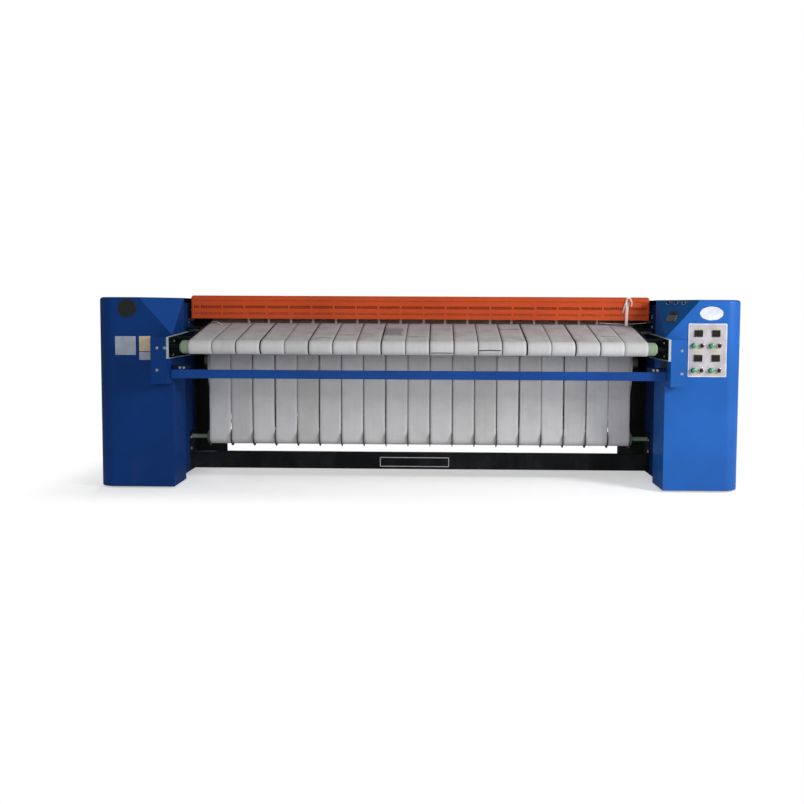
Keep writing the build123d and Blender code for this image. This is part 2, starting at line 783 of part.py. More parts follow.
# ---- drum ----------------------------------------------------------------------------------
drum_spot = (drum_depth, drum_height)
drum_bearing_radius = 110
drum_bearing_length = 60
slip_ring_radius = 75
slip_ring_width = 12
slip_ring_spacing = 22
slip_ring_count = 4
slip_ring_gap = 16
slip_ring_start = frame_outer + drum_bearing_length + slip_ring_gap
slip_ring_end = slip_ring_start + (slip_ring_count - 1) * slip_ring_spacing + slip_ring_width
journal_end = slip_ring_end + shaft_tail

with BuildPart() as drum_shell:
    with BuildSketch(section_at(drum_spot)):
        with Locations((0, drum_radius - drum_wall)):
            Rectangle(2 * drum_half, drum_wall, align=(Align.CENTER, Align.MIN))
    revolve(axis=axis_through(drum_spot))

with BuildPart() as drum_ends:
    with BuildSketch(section_at(drum_spot)):
        with BuildLine():
            Polyline(
                (drum_half - head_thickness, 0),
                (drum_half - head_thickness, drum_radius - drum_wall - fit_gap),
                (drum_half, drum_radius - drum_wall - fit_gap),
                (drum_half, head_boss_radius),
                (drum_half + head_thickness, journal_radius + head_thickness),
                (drum_half + head_thickness, journal_radius),
                (journal_end, journal_radius),
                (journal_end, 0),
                close=True,
            )
        make_face()
    end = revolve(axis=axis_through(drum_spot))
    mirror(end, about=Plane.YZ)

with BuildPart() as heater_rods:
    rod_end = drum_half - head_thickness - fit_gap
    with BuildSketch(Plane(origin=(-rod_end, drum_y, drum_height), x_dir=(0, 1, 0), z_dir=(1, 0, 0))):
        with PolarLocations(heater_circle_radius, heater_count):
            Circle(heater_radius)
    extrude(amount=2 * rod_end)

with BuildPart() as slip_rings:
    for index in range(slip_ring_count):
        with BuildSketch(upright(slip_ring_start + index * slip_ring_spacing)):
            with Locations((drum_y, drum_height)):
                Circle(slip_ring_radius)
                Circle(journal_radius + fit_gap, mode=Mode.SUBTRACT)
        extrude(amount=slip_ring_width)

with BuildPart() as right_drum_bearing:
    with BuildSketch(upright(frame_outer)):
        with Locations((drum_y, drum_height)):
            Circle(drum_bearing_radius)
            Rectangle(2 * drum_bearing_radius, drum_bearing_radius, align=(Align.CENTER, Align.MAX))
            Circle(journal_radius + fit_gap, mode=Mode.SUBTRACT)
    extrude(amount=drum_bearing_length)
drum_bearings = both_ends(right_drum_bearing.part)

with BuildPart() as brush_holder:
    brush_depth = 24
    brush_arm_rise = 10
    arm_bottom = drum_height + drum_bearing_radius + brush_arm_rise
    arm_height = 16
    brush_low = drum_height + slip_ring_radius + running_gap
    arm_length = journal_end - frame_outer
    with BuildSketch(Plane.XZ.offset(-drum_y)):
        with Locations((frame_outer, arm_bottom)):
            Rectangle(arm_length, arm_height, align=Align.MIN)
        for index in range(slip_ring_count):
            with Locations((slip_ring_start + index * slip_ring_spacing, brush_low)):
                Rectangle(slip_ring_width, arm_bottom - brush_low, align=Align.MIN)
    extrude(amount=brush_depth, both=True)

# ---- drive in the left cabinet ----------------------------------------------------------------
pulley_radius = 250
pulley_width = 60
pulley_gap = 18
pulley_rim = 24
pulley_web = 14
pulley_holes = 6
pulley_hole_radius = 42
drive_radius = 80
drive_height = 290
drive_shaft_radius = 14
drive_belt_width = 22
drive_belt_thickness = 11
drive_belt_spacing = 27
drive_belts_count = 2
flange_rise = 6
pulley_x = -(frame_outer + drum_bearing_length + pulley_gap + pulley_width)
drive_spot = (drum_depth, drive_height)


def pulley(spot, rim_radius, bore):
    """Flat-grooved pulley: rim with raised flanges, a web and a hub."""
    with BuildPart() as turned:
        with BuildSketch(section_at(spot)):
            with Locations((pulley_x, 0)):
                with Locations((0, bore)):
                    Rectangle(pulley_width, pulley_rim, align=Align.MIN)
                with Locations(((pulley_width - pulley_web) / 2, bore)):
                    Rectangle(pulley_web, rim_radius - bore, align=Align.MIN)
                with Locations((0, rim_radius - pulley_rim)):
                    Rectangle(pulley_width, pulley_rim, align=Align.MIN)
                for edge in (0, pulley_width - flange_rise / 2):
                    with Locations((edge, rim_radius - pulley_rim)):
                        Rectangle(flange_rise / 2, pulley_rim + flange_rise, align=Align.MIN)
        revolve(axis=axis_through(spot))
    return turned.part


with BuildPart() as drum_pulley:
    add(pulley(drum_spot, pulley_radius, journal_radius + fit_gap))
    with BuildSketch(Plane(origin=(pulley_x, drum_y, drum_height), x_dir=(0, 1, 0), z_dir=(1, 0, 0))):
        with PolarLocations((journal_radius + pulley_radius) / 2, pulley_holes):
            Circle(pulley_hole_radius)
    extrude(amount=pulley_width, mode=Mode.SUBTRACT)

gearbox_gap = 14
gearbox_x = pulley_x - gearbox_gap
gearbox_size = 150
gearbox_length = 110
gearbox_corner = 12
motor_radius = 72
motor_length = 170
shaft_socket = 40
with BuildPart() as motor_pulley:
    add(pulley(drive_spot, drive_radius, drive_shaft_radius))
    with BuildSketch(upright(gearbox_x - shaft_socket + fit_gap)):
        with Locations((drum_y, drive_height)):
            Circle(drive_shaft_radius)
    extrude(amount=gearbox_gap + shaft_socket + pulley_width)

with BuildPart() as gearmotor:
    with BuildSketch(upright(gearbox_x)):
        with Locations((drum_y, drive_height)):
            RectangleRounded(gearbox_size, gearbox_size, gearbox_corner)
    extrude(amount=-gearbox_length)
    with BuildSketch(upright(gearbox_x - gearbox_length)):
        with Locations((drum_y, drive_height)):
            Circle(motor_radius)
    extrude(amount=-motor_length)
    with BuildSketch(upright(gearbox_x)):
        with Locations((drum_y, foot_height + tray_sheet)):
            Rectangle(gearbox_size, drive_height - foot_height - tray_sheet, align=(Align.CENTER, Align.MIN))
    extrude(amount=-gearbox_length)
    with BuildSketch(upright(gearbox_x)):
        with Locations((drum_y, drive_height)):
            Circle(drive_shaft_radius + fit_gap)
    extrude(amount=-shaft_socket, mode=Mode.SUBTRACT)

with BuildPart() as drive_belts:
    for index in range(drive_belts_count):
        middle = pulley_x + pulley_width / 2 + (index - (drive_belts_count - 1) / 2) * drive_belt_spacing
        with BuildSketch(upright(middle - drive_belt_width / 2)):
            for offset, mode in ((drive_belt_thickness, Mode.ADD), (0, Mode.SUBTRACT)):
                grip = running_gap + offset
                lean = asin((pulley_radius - drive_radius) / (drum_height - drive_height))
                big = Vector(drum_y, drum_height)
                small = Vector(drum_y, drive_height)
                side = Vector(cos(lean), -sin(lean))
                other = Vector(-cos(lean), -sin(lean))
                with BuildLine():
                    ThreePointArc(
                        big + side * (pulley_radius + grip),
                        big + Vector(0, pulley_radius + grip),
                        big + other * (pulley_radius + grip),
                    )
                    Line(big + other * (pulley_radius + grip), small + other * (drive_radius + grip))
                    ThreePointArc(
                        small + other * (drive_radius + grip),
                        small - Vector(0, drive_radius + grip),
                        small + side * (drive_radius + grip),
                    )
                    Line(small + side * (drive_radius + grip), big + side * (pulley_radius + grip))
                make_face(mode=mode)
        extrude(amount=drive_belt_width)

with BuildPart() as electrical_box:
    box_width = 200
    box_depth = 260
    box_height = 560
    box_wall_gap = 60
    box_corner = 6
    with BuildSketch(Plane.XY.offset(foot_height + tray_sheet)):
        with Locations((outer_half - cover_sheet - box_wall_gap, face_y + cabinet_depth / 2)):
            Rectangle(box_width, box_depth, align=(Align.MAX, Align.CENTER))
    extrude(amount=box_height)
    fillet(electrical_box.edges().filter_by(Axis.Z), box_corner)

# ---- sprung front bar ----------------------------------------------------------------------------
bar_front_depth = -50
bar_drop = 132             # side plates' lower edge to the bar's
bar_height = 56
bar_depth = 30
bar_wall = 3
bar_end_gap = 6
bar_travel = 12
tab_length = 100
tab_height = 28
tab_sheet = 6
tab_from_end = 22
stud_radius = 5
stud_spacing = 26
stud_head = 9
stud_head_length = 6
mount_sheet = 5
bar_bottom = side_plate_bottom - bar_drop
bar_half = bay_half - bar_end_gap
bar_y = face_y + bar_front_depth
tab_top = bar_bottom + bar_height + tab_height
stud_z = bar_bottom + bar_height + tab_height / 2
tab_back = bar_y + tab_sheet
mount_y = tab_back + bar_travel + running_gap
stud_xs = [bar_half - tab_from_end - tab_length / 2 + side * stud_spacing / 2 for side in (-1, 1)]

with BuildPart() as safety_bar:
    with BuildSketch(upright(0)):
        with Locations((bar_y, bar_bottom)):
            Rectangle(bar_depth, bar_height, align=Align.MIN)
        with Locations((bar_y + bar_wall, bar_bottom + bar_wall)):
            bore = (bar_depth - 2 * bar_wall, bar_height - 2 * bar_wall)
            Rectangle(*bore, align=Align.MIN, mode=Mode.SUBTRACT)
    extrude(amount=bar_half, both=True)
    with BuildSketch(Plane.XZ.offset(-bar_y)):
        with Locations((bar_half - tab_from_end, bar_bottom + bar_height - bar_wall)):
            Rectangle(tab_length, tab_height + bar_wall, align=(Align.MAX, Align.MIN))
        for x in stud_xs:
            with Locations((x, stud_z)):
                Circle(stud_radius + fit_gap, mode=Mode.SUBTRACT)
    tab = extrude(amount=-tab_sheet)
    mirror(tab, about=Plane.YZ)

with BuildPart() as right_bar_mount:
    with BuildSketch(Plane.XZ.offset(-mount_y)):
        with Locations((bay_half, bar_bottom + bar_height + bar_wall)):
            Rectangle(tab_length + tab_from_end + bar_end_gap, tab_height, align=(Align.MAX, Align.MIN))
    extrude(amount=-mount_sheet)
    with BuildSketch(Plane.XY.offset(bar_bottom + bar_height + bar_wall)):
        with Locations((bay_half, mount_y)):
            Rectangle(mount_sheet, face_y - mount_y, align=(Align.MAX, Align.MIN))
    extrude(amount=tab_height)
bar_mounts = both_ends(right_bar_mount.part)

with BuildPart() as right_bar_studs:
    with BuildSketch(Plane.XZ.offset(-mount_y)):
        with Locations([(x, stud_z) for x in stud_xs]):
            Circle(stud_radius)
    extrude(amount=mount_y - bar_y + running_gap)
    with BuildSketch(Plane.XZ.offset(-(bar_y - running_gap))):
        with Locations([(x, stud_z) for x in stud_xs]):
            Circle(stud_head)
    extrude(amount=stud_head_length)
bar_studs = both_ends(right_bar_studs.part)

with BuildPart() as limit_switch:
    switch_width = 30
    switch_depth = 20
    switch_height = 44
    switch_x = bay_half - mount_sheet - switch_width
    with BuildSketch(Plane.XY.offset(tab_top + bar_wall)):
        with Locations((switch_x, mount_y)):
            Rectangle(switch_width + mount_sheet, switch_depth, align=Align.MIN)
    extrude(amount=switch_height)

# ---- control panel on the right cabinet -------------------------------------------------------------
panel_from_bay = 146        # bay wall to the plate's edge
panel_plate_width = 252
panel_plate_height = 350
panel_plate_drop = 155      # cabinet's top to the plate's
panel_plate_sheet = 3
panel_plate_corner = 6
first_row_drop = 65
row_spacing = 162
first_column_place = 66
column_spacing = 114
display_width = 54
display_height = 44
display_depth = 6
display_corner = 3
display_frame = 4
switch_row_drop = 80
button_offset = -30
selector_offset = 21
bezel_radius = 16
bezel_height = 12
cap_radius = 11
cap_clearance = 0.3
cap_chamfer = 1.2
button_travel = 4
button_proud = 4
selector_grip_width = 7
selector_grip_height = 8
selector_grip_inset = 0.5
panel_face = face_y - panel_plate_sheet
panel_left = bay_half + panel_from_bay
panel_plate_top = cabinet_height - panel_plate_drop
panel_plate_bottom = panel_plate_top - panel_plate_height
panel_rows = [panel_plate_top - first_row_drop - row * row_spacing for row in range(2)]
panel_columns = [panel_left + first_column_place + column * column_spacing for column in range(2)]

with BuildPart() as control_panel:
    with BuildSketch(Plane.XZ.offset(-face_y)):
        with Locations((panel_left + panel_plate_width / 2, panel_plate_bottom + panel_plate_height / 2)):
            RectangleRounded(panel_plate_width, panel_plate_height, panel_plate_corner)
    extrude(amount=panel_plate_sheet)

with BuildPart() as temperature_displays:
    spots = [(x, z) for z in panel_rows for x in panel_columns]
    with BuildSketch(Plane.XZ.offset(-panel_face)):
        with Locations(spots):
            RectangleRounded(display_width, display_height, display_corner)
    extrude(amount=display_depth)
    with BuildSketch(Plane.XZ.offset(-(panel_face - display_depth))):
        with Locations(spots):
            Rectangle(display_width - 2 * display_frame, display_height - 2 * display_frame)
    extrude(amount=-display_frame / 2, mode=Mode.SUBTRACT)

zones = [(x, z - switch_row_drop) for z in panel_rows for x in panel_columns]
panel_planes = [
    Plane(origin=(x + shift, panel_face, z), x_dir=(1, 0, 0), z_dir=(0, -1, 0))
    for shift in (button_offset, selector_offset)
    for x, z in zones
]
facet_switch_spacing = 57
facet_switch_drop = 30
drive_middle = 5           # across the slope
drive_screen_drop = 104    # down the slope
drive_screen_width = 54
drive_screen_height = 26
drive_keys_drop = 150
drive_keys_width = 66
drive_keys_height = 50
drive_keys_depth = 10
facet_planes = [
    Plane(
        origin=facet.from_local_coords(Vector(index * facet_switch_spacing, -facet_switch_drop, 0)),
        x_dir=facet.x_dir,
        z_dir=facet.z_dir,
    )
    for index in (-1, 0, 1)
]

with BuildPart() as switch_bezels:
    for plane in panel_planes + facet_planes:
        with BuildSketch(plane):
            Circle(bezel_radius)
            Circle(cap_radius + cap_clearance, mode=Mode.SUBTRACT)
        extrude(amount=bezel_height)


with BuildPart() as drive_display:
    with BuildSketch(facet):
        with Locations((drive_middle, -drive_screen_drop)):
            RectangleRounded(drive_screen_width, drive_screen_height, display_corner)
    extrude(amount=display_depth)
    with BuildSketch(facet):
        with Locations((drive_middle, -drive_keys_drop)):
            RectangleRounded(drive_keys_width, drive_keys_height, display_corner)
    extrude(amount=drive_keys_depth)
    keys_face = facet.offset(drive_keys_depth)
    with BuildSketch(keys_face):
        with Locations((drive_middle, -drive_keys_drop)):
            Rectangle(drive_keys_width - 4 * display_frame, drive_keys_height - 4 * display_frame)
    extrude(amount=-display_frame / 2, mode=Mode.SUBTRACT)


def push_button(plane):
    """Round cap that travels in its bezel ring."""
    with BuildPart() as button:
        with BuildSketch(plane.offset(button_travel + cap_clearance)):
            Circle(cap_radius)
        extrude(amount=bezel_height + button_proud - cap_clearance)
        crown = button.faces().sort_by(lambda face: (face.center() - plane.origin).dot(plane.z_dir))[-1]
        chamfer(crown.edges(), cap_chamfer)
    return button


def selector(plane):
    """Round knob with a raised grip across it."""
    with BuildPart() as knob:
        with BuildSketch(plane.offset(cap_clearance)):
            Circle(cap_radius)
        extrude(amount=bezel_height)
        with BuildSketch(plane.offset(bezel_height)):
            SlotOverall(2 * (cap_radius - selector_grip_inset), selector_grip_width, rotation=90)
        extrude(amount=selector_grip_height)
    return knob


pieces = {
    "left_side_frame": left_side_frame,
    "right_side_frame": right_side_frame,
    "left_front_cover": left_front_cover,
    "right_front_cover": right_front_cover,
    "left_rear_cover": left_rear_cover,
    "right_rear_cover": right_rear_cover,
    "side_panels": side_panels,
    "base_trays": base_trays,
    "levelling_feet": levelling_feet,
    "lower_front_beam": lower_front_beam,
    "lower_rear_beam": lower_rear_beam,
    "upper_rear_tie": upper_rear_tie,
    "feed_brackets": feed_brackets,
    "feed_side_plates": feed_side_plates,
    "feed_slide_plate": feed_slide_plate,
    "delivery_slide": delivery_slide,
    "ironing_belts": ironing_belts,
    "roller_bearings": roller_bearings,
    "drum_bearings": drum_bearings,
    "gearmotor": gearmotor,
    "drive_belts": drive_belts,
    "brush_holder": brush_holder,
    "electrical_box": electrical_box,
    "guide_tape_bar": guide_tape_bar,
    "guide_tapes": guide_tapes,
    "hood_rests": hood_rests,
    "bar_mounts": bar_mounts,
    "bar_studs": bar_studs,
    "limit_switch": limit_switch,
    "control_panel": control_panel,
    "temperature_displays": temperature_displays,
    "switch_bezels": switch_bezels,
    "drive_display": drive_display,
    "drum_shell": drum_shell,
    "drum_ends": drum_ends,
    "heater_rods": heater_rods,
    "slip_rings": slip_rings,
    "drum_pulley": drum_pulley,
    "front_feed_roller": front_feed_roller,
    "nip_roller": nip_roller,
    "rear_top_roller": rear_top_roller,
    "lower_rear_roller": lower_rear_roller,
    "lower_front_roller": lower_front_roller,
    "belt_guide_roller": belt_guide_roller,
    "motor_pulley": motor_pulley,
    "drum_hood": drum_hood,
    "tie_tape": tie_tape,
    "safety_bar": safety_bar,
}
for index, plane in enumerate(panel_planes[: len(zones)]):
    pieces[f"start_button_{index + 1}"] = push_button(plane)
for index, plane in enumerate(panel_planes[len(zones) :]):
    pieces[f"zone_switch_{index + 1}"] = selector(plane)
pieces["stop_button"] = push_button(facet_planes[0])
pieces["reverse_button"] = push_button(facet_planes[1])
pieces["mode_switch"] = selector(facet_planes[2])

for name, piece in pieces.items():
    piece.part.label = name
    export_step(piece.part, f"parts/{name}.step")
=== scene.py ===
"""Looks of a flatwork ironer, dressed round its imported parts.

Everything is in metres, +Z up, with the operator at -Y.  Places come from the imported
parts' own boxes; a size that only the looks need is a named value beside its piece.
"""
import json
import math
import random

import bmesh
import bpy
from mathutils import Matrix, Vector, noise

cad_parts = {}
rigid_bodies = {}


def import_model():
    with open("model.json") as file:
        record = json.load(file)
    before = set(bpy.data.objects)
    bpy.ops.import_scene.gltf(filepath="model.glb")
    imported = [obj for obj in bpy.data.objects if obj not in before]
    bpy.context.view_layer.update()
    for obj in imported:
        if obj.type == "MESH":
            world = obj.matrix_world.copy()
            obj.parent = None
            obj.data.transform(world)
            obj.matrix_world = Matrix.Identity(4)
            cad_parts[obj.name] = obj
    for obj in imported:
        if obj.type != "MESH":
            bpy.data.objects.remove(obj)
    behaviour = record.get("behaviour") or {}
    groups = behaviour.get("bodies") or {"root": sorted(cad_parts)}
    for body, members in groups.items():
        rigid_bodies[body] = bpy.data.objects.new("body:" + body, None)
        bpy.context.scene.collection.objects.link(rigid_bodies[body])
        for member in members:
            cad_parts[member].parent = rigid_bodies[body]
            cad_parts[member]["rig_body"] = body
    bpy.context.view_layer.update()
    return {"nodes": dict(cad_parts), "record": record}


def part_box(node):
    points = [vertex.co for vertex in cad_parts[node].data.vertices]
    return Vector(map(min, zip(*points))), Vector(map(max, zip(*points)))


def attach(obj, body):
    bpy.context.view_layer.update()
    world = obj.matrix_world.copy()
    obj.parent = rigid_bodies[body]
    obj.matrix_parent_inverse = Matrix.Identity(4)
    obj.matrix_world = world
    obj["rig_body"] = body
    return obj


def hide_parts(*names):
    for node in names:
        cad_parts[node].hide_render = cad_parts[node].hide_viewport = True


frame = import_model()

SIDES = (-1, 1)
SLOT_OF = {row["node"]: row["material_slot"] for row in frame["record"]["subparts"]}
DRESSED = set()            # parts that a piece already stands for

# ---- places read from the parts ------------------------------------------------------
cover_low, cover_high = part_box("right_front_cover")
bay_half, outer_half, face_y = cover_low.x, cover_high.x, cover_low.y
back_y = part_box("right_rear_cover")[1].y
hood_low, hood_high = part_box("drum_hood")
hood_half = hood_high.x
belts_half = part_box("ironing_belts")[1].x


# ---- small helpers -------------------------------------------------------------------
def tint(red, green, blue):
    """A colour as seen on a screen, out of 255, as a linear colour."""
    steps = (red / 255, green / 255, blue / 255)
    return (*(s / 12.92 if s < 0.04045 else ((s + 0.055) / 1.055) ** 2.4 for s in steps), 1)


def way_at(angle):
    """The unit vector at an angle, in radians."""
    return Vector((math.cos(angle), math.sin(angle)))


def stand(name, data):
    """A new object in the scene, at the origin."""
    made = bpy.data.objects.new(name, data)
    bpy.context.scene.collection.objects.link(made)
    return made


def node(tree, kind, inputs=None, **settings):
    """A node of that kind with its settings, and each input set or linked."""
    made = tree.nodes.new(kind)
    for name, value in settings.items():
        setattr(made, name, value)
    for socket, value in (inputs or {}).items():
        if isinstance(value, bpy.types.NodeSocket):
            tree.links.new(value, made.inputs[socket])
        else:
            made.inputs[socket].default_value = value
    return made


def maths(tree, operation, first, *others):
    """A sum, product or other step on numbers, taken with each of the others in turn."""
    for other in others or (0.0,):
        first = node(tree, "ShaderNodeMath", {0: first, 1: other}, operation=operation).outputs[0]
    return first


def ramp(tree, value, low, high, to_low=0.0, to_high=1.0):
    """The value stretched smoothly from one range to another."""
    inputs = {"Value": value, 1: low, 2: high, 3: to_low, 4: to_high}
    return node(tree, "ShaderNodeMapRange", inputs, interpolation_type="SMOOTHSTEP").outputs[0]


def blended(tree, share, first, second, kind="MIX"):
    """Two colours mixed by a share."""
    inputs = {0: share, 6: first, 7: second}
    return node(tree, "ShaderNodeMix", inputs, data_type="RGBA", blend_type=kind).outputs[2]


def toned(tree, colour, tone):
    """A colour made lighter or darker by a tone, where 1 leaves it as it is."""
    grey = node(tree, "ShaderNodeCombineColor", {0: tone, 1: tone, 2: tone}).outputs[0]
    return blended(tree, 1.0, colour, grey, "MULTIPLY")


def speckle(tree, place, scale, detail, rough=0.5, stretch=(1, 1, 1)):
    """Noise over a place, stretched along the axes."""
    turned = node(tree, "ShaderNodeMapping", {"Vector": place, "Scale": stretch}).outputs[0]
    inputs = {"Vector": turned, "Scale": scale, "Detail": detail, "Roughness": rough}
    return node(tree, "ShaderNodeTexNoise", inputs).outputs[0]


def bumped(tree, height, strength, deep):
    """The normal over a height that stands for so many metres."""
    return node(tree, "ShaderNodeBump", {"Height": height, "Strength": strength, "Distance": deep}).outputs[0]


def empty_tree(owner):
    """The node tree of a material or a world, with nothing in it."""
    owner.use_nodes = True
    owner.node_tree.nodes.clear()
    return owner.node_tree


def shared_effect(name, inputs):
    """An empty shader group: its tree, its input sockets by name, and its output node."""
    kinds = {"Colour": "NodeSocketColor", "Normal": "NodeSocketVector"}
    group = bpy.data.node_groups.new(name, "ShaderNodeTree")
    for label, value in inputs.items():
        kind = kinds.get(label, "NodeSocketFloat")
        group.interface.new_socket(name=label, in_out="INPUT", socket_type=kind).default_value = value
    for label in ("Colour", "Roughness", "Normal"):
        kind = kinds.get(label, "NodeSocketFloat")
        group.interface.new_socket(name=label, in_out="OUTPUT", socket_type=kind)
    entry = group.nodes.new("NodeGroupInput")
    return group, entry.outputs, group.nodes.new("NodeGroupOutput")


def hand_out(group, result, colour, rough, normal):
    """Links a group's three results to its output."""
    for label, socket in (("Colour", colour), ("Roughness", rough), ("Normal", normal)):
        group.links.new(socket, result.inputs[label])


def object_place(tree):
    """A point's place in the machine, in metres."""
    return node(tree, "ShaderNodeTexCoord").outputs["Object"]


# ---- shared effects ------------------------------------------------------------------
def make_coat_effect():
    """Sprayed coat: faint tone drift, orange peel, dust on top faces, grime low down."""
    group, given, result = shared_effect("sprayed_coat", {
        "Colour": tint(128, 128, 128), "Roughness": 0.4, "Peel": 0.1, "Dust": 0.3, "Grime": 0.4})
    place = object_place(group)
    height = node(group, "ShaderNodeSeparateXYZ", {0: place}).outputs[2]
    drift = ramp(group, speckle(group, place, 1.7, 3.0), 0.3, 0.7, 0.90, 1.08)
    clean = toned(group, given["Colour"], drift)
    normal = node(group, "ShaderNodeNewGeometry").outputs["Normal"]
    upward = node(group, "ShaderNodeSeparateXYZ", {0: normal}).outputs[2]
    flat_top = ramp(group, upward, 0.55, 0.98)
    patchy = ramp(group, speckle(group, place, 9.0, 4.0, 0.6), 0.35, 0.75)
    dust = maths(group, "MULTIPLY", flat_top, patchy, given["Dust"])
    dusty = blended(group, dust, clean, tint(170, 165, 160))
    low = ramp(group, height, 0.32, 0.0)
    smear = ramp(group, speckle(group, place, 6.0, 5.0, 0.65, (1, 1, 0.5)), 0.42, 0.72)
    grime = maths(group, "MULTIPLY", low, smear, given["Grime"])
    grimy = blended(group, grime, dusty, tint(70, 72, 78))
    scratch = ramp(group, speckle(group, place, 5.0, 6.0, 0.8, (9, 9, 0.7)), 0.71, 0.76)
    scratched = blended(group, maths(group, "MULTIPLY", scratch, 0.16), grimy, tint(190, 196, 205))
    mottle = ramp(group, speckle(group, place, 26.0, 3.0), 0.3, 0.7, -0.04, 0.06)
    dulled = maths(group, "MULTIPLY", maths(group, "ADD", dust, grime), 0.4)
    rough = maths(group, "ADD", given["Roughness"], mottle, dulled)
    peel = bumped(group, speckle(group, place, 420.0, 1.0), given["Peel"], 0.0004)
    hand_out(group, result, scratched, rough, peel)
    return group


def make_metal_effect():
    """Bare metal: fine lines along X, cloudy tarnish and a few dull spots."""
    group, given, result = shared_effect("worked_metal", {
        "Colour": tint(160, 160, 160), "Roughness": 0.3, "Lines": 0.2, "Tarnish": 0.3})
    place = object_place(group)
    lines = speckle(group, place, 60.0, 3.0, 0.6, (0.15, 8, 8))
    cloud = ramp(group, speckle(group, place, 5.0, 5.0, 0.6), 0.35, 0.75)
    dull = maths(group, "MULTIPLY", cloud, given["Tarnish"])
    colour = blended(group, dull, given["Colour"], tint(96, 90, 82))
    matt = maths(group, "MULTIPLY", dull, 0.35)
    rough = maths(group, "ADD", given["Roughness"], matt, ramp(group, lines, 0.3, 0.7, -0.05, 0.07))
    hand_out(group, result, colour, rough, bumped(group, lines, given["Lines"], 0.0003))
    return group


def make_cloth_effect():
    """Plain weave in the piece's own layout, in metres, with loose fibres."""
    group, given, result = shared_effect("plain_weave", {
        "Colour": tint(200, 200, 200), "Roughness": 0.85, "Thread": 0.0015, "Depth": 0.4})
    layout = node(group, "ShaderNodeUVMap", uv_map="cloth").outputs[0]
    parts = node(group, "ShaderNodeSeparateXYZ", {0: layout}).outputs
    turns = maths(group, "DIVIDE", 2 * math.pi, given["Thread"])
    warp, weft = (maths(group, "SINE", maths(group, "MULTIPLY", along, turns)) for along in parts[:2])
    weave = maths(group, "MULTIPLY", warp, weft)
    fibre = speckle(group, layout, 900.0, 3.0, 0.7, (1, 0.12, 1))
    height = maths(group, "ADD", maths(group, "MULTIPLY", weave, 0.5), fibre)
    colour = toned(group, given["Colour"], ramp(group, height, -0.1, 1.1, 0.93, 1.04))
    rough = maths(group, "ADD", given["Roughness"], maths(group, "MULTIPLY", fibre, 0.1))
    hand_out(group, result, colour, rough, bumped(group, height, given["Depth"], 0.0004))
    return group


def make_grain_effect():
    """Cast or moulded surface: even grain at one scale, greasy patches."""
    group, given, result = shared_effect("cast_grain", {
        "Colour": tint(60, 60, 60), "Roughness": 0.5, "Grains": 300.0, "Depth": 0.2})
    place = object_place(group)
    grain = node(group, "ShaderNodeTexNoise", {
        "Vector": place, "Scale": given["Grains"], "Detail": 2.0, "Roughness": 0.5}).outputs[0]
    patch = ramp(group, speckle(group, place, 12.0, 4.0, 0.6), 0.35, 0.7, 0.86, 1.12)
    rough = maths(group, "ADD", given["Roughness"], ramp(group, grain, 0.3, 0.7, -0.06, 0.08))
    relief = bumped(group, grain, given["Depth"], 0.0005)
    hand_out(group, result, toned(group, given["Colour"], patch), rough, relief)
    return group


COAT, METAL = make_coat_effect(), make_metal_effect()
CLOTH, GRAIN = make_cloth_effect(), make_grain_effect()


def close_surface(tree, effect, values, surface):
    """Ends a material's tree: a shared effect with its values, and the surface's other numbers."""
    made = node(tree, "ShaderNodeGroup", values, node_tree=effect)
    shader = node(tree, "ShaderNodeBsdfPrincipled", {
        "Base Color": made.outputs["Colour"], "Roughness": made.outputs["Roughness"],
        "Normal": made.outputs["Normal"], **surface})
    node(tree, "ShaderNodeOutputMaterial", {0: shader.outputs[0]})


def finish_of(name, effect, values, metallic=0.0, coat=0.0, coat_rough=0.1, sheen=0.0, gloss=0.5):
    """A material whose colour, roughness and bump come from one shared effect."""
    material = bpy.data.materials.new(name)
    close_surface(empty_tree(material), effect, values, {
        "Metallic": metallic, "Coat Weight": coat, "Coat Roughness": coat_rough, "Sheen Weight": sheen,
        "Specular IOR Level": gloss})
    return material


def coat_finish(name, colour, rough=0.42, grime=0.25, coat=0.05, gloss=0.2):
    """A sprayed coat."""
    values = {"Colour": colour, "Roughness": rough, "Peel": 0.12, "Dust": 0.1, "Grime": grime}
    return finish_of(name, COAT, values, coat=coat, coat_rough=0.18, gloss=gloss)


def flat_coat(name, colour, rough=0.5, grime=0.25, gloss=0.12):
    """A sprayed coat without shine."""
    return coat_finish(name, colour, rough, grime=grime, coat=0.0, gloss=gloss)


def metal_finish(name, colour, rough, lines, tarnish, metallic=1.0):
    """Ground, drawn or plated metal."""
    values = {"Colour": colour, "Roughness": rough, "Lines": lines, "Tarnish": tarnish}
    return finish_of(name, METAL, values, metallic)


def grain_finish(name, colour, rough, grains, depth, coat=0.0):
    """A cast or moulded surface."""
    values = {"Colour": colour, "Roughness": rough, "Grains": grains, "Depth": depth}
    return finish_of(name, GRAIN, values, coat=coat, coat_rough=0.08)


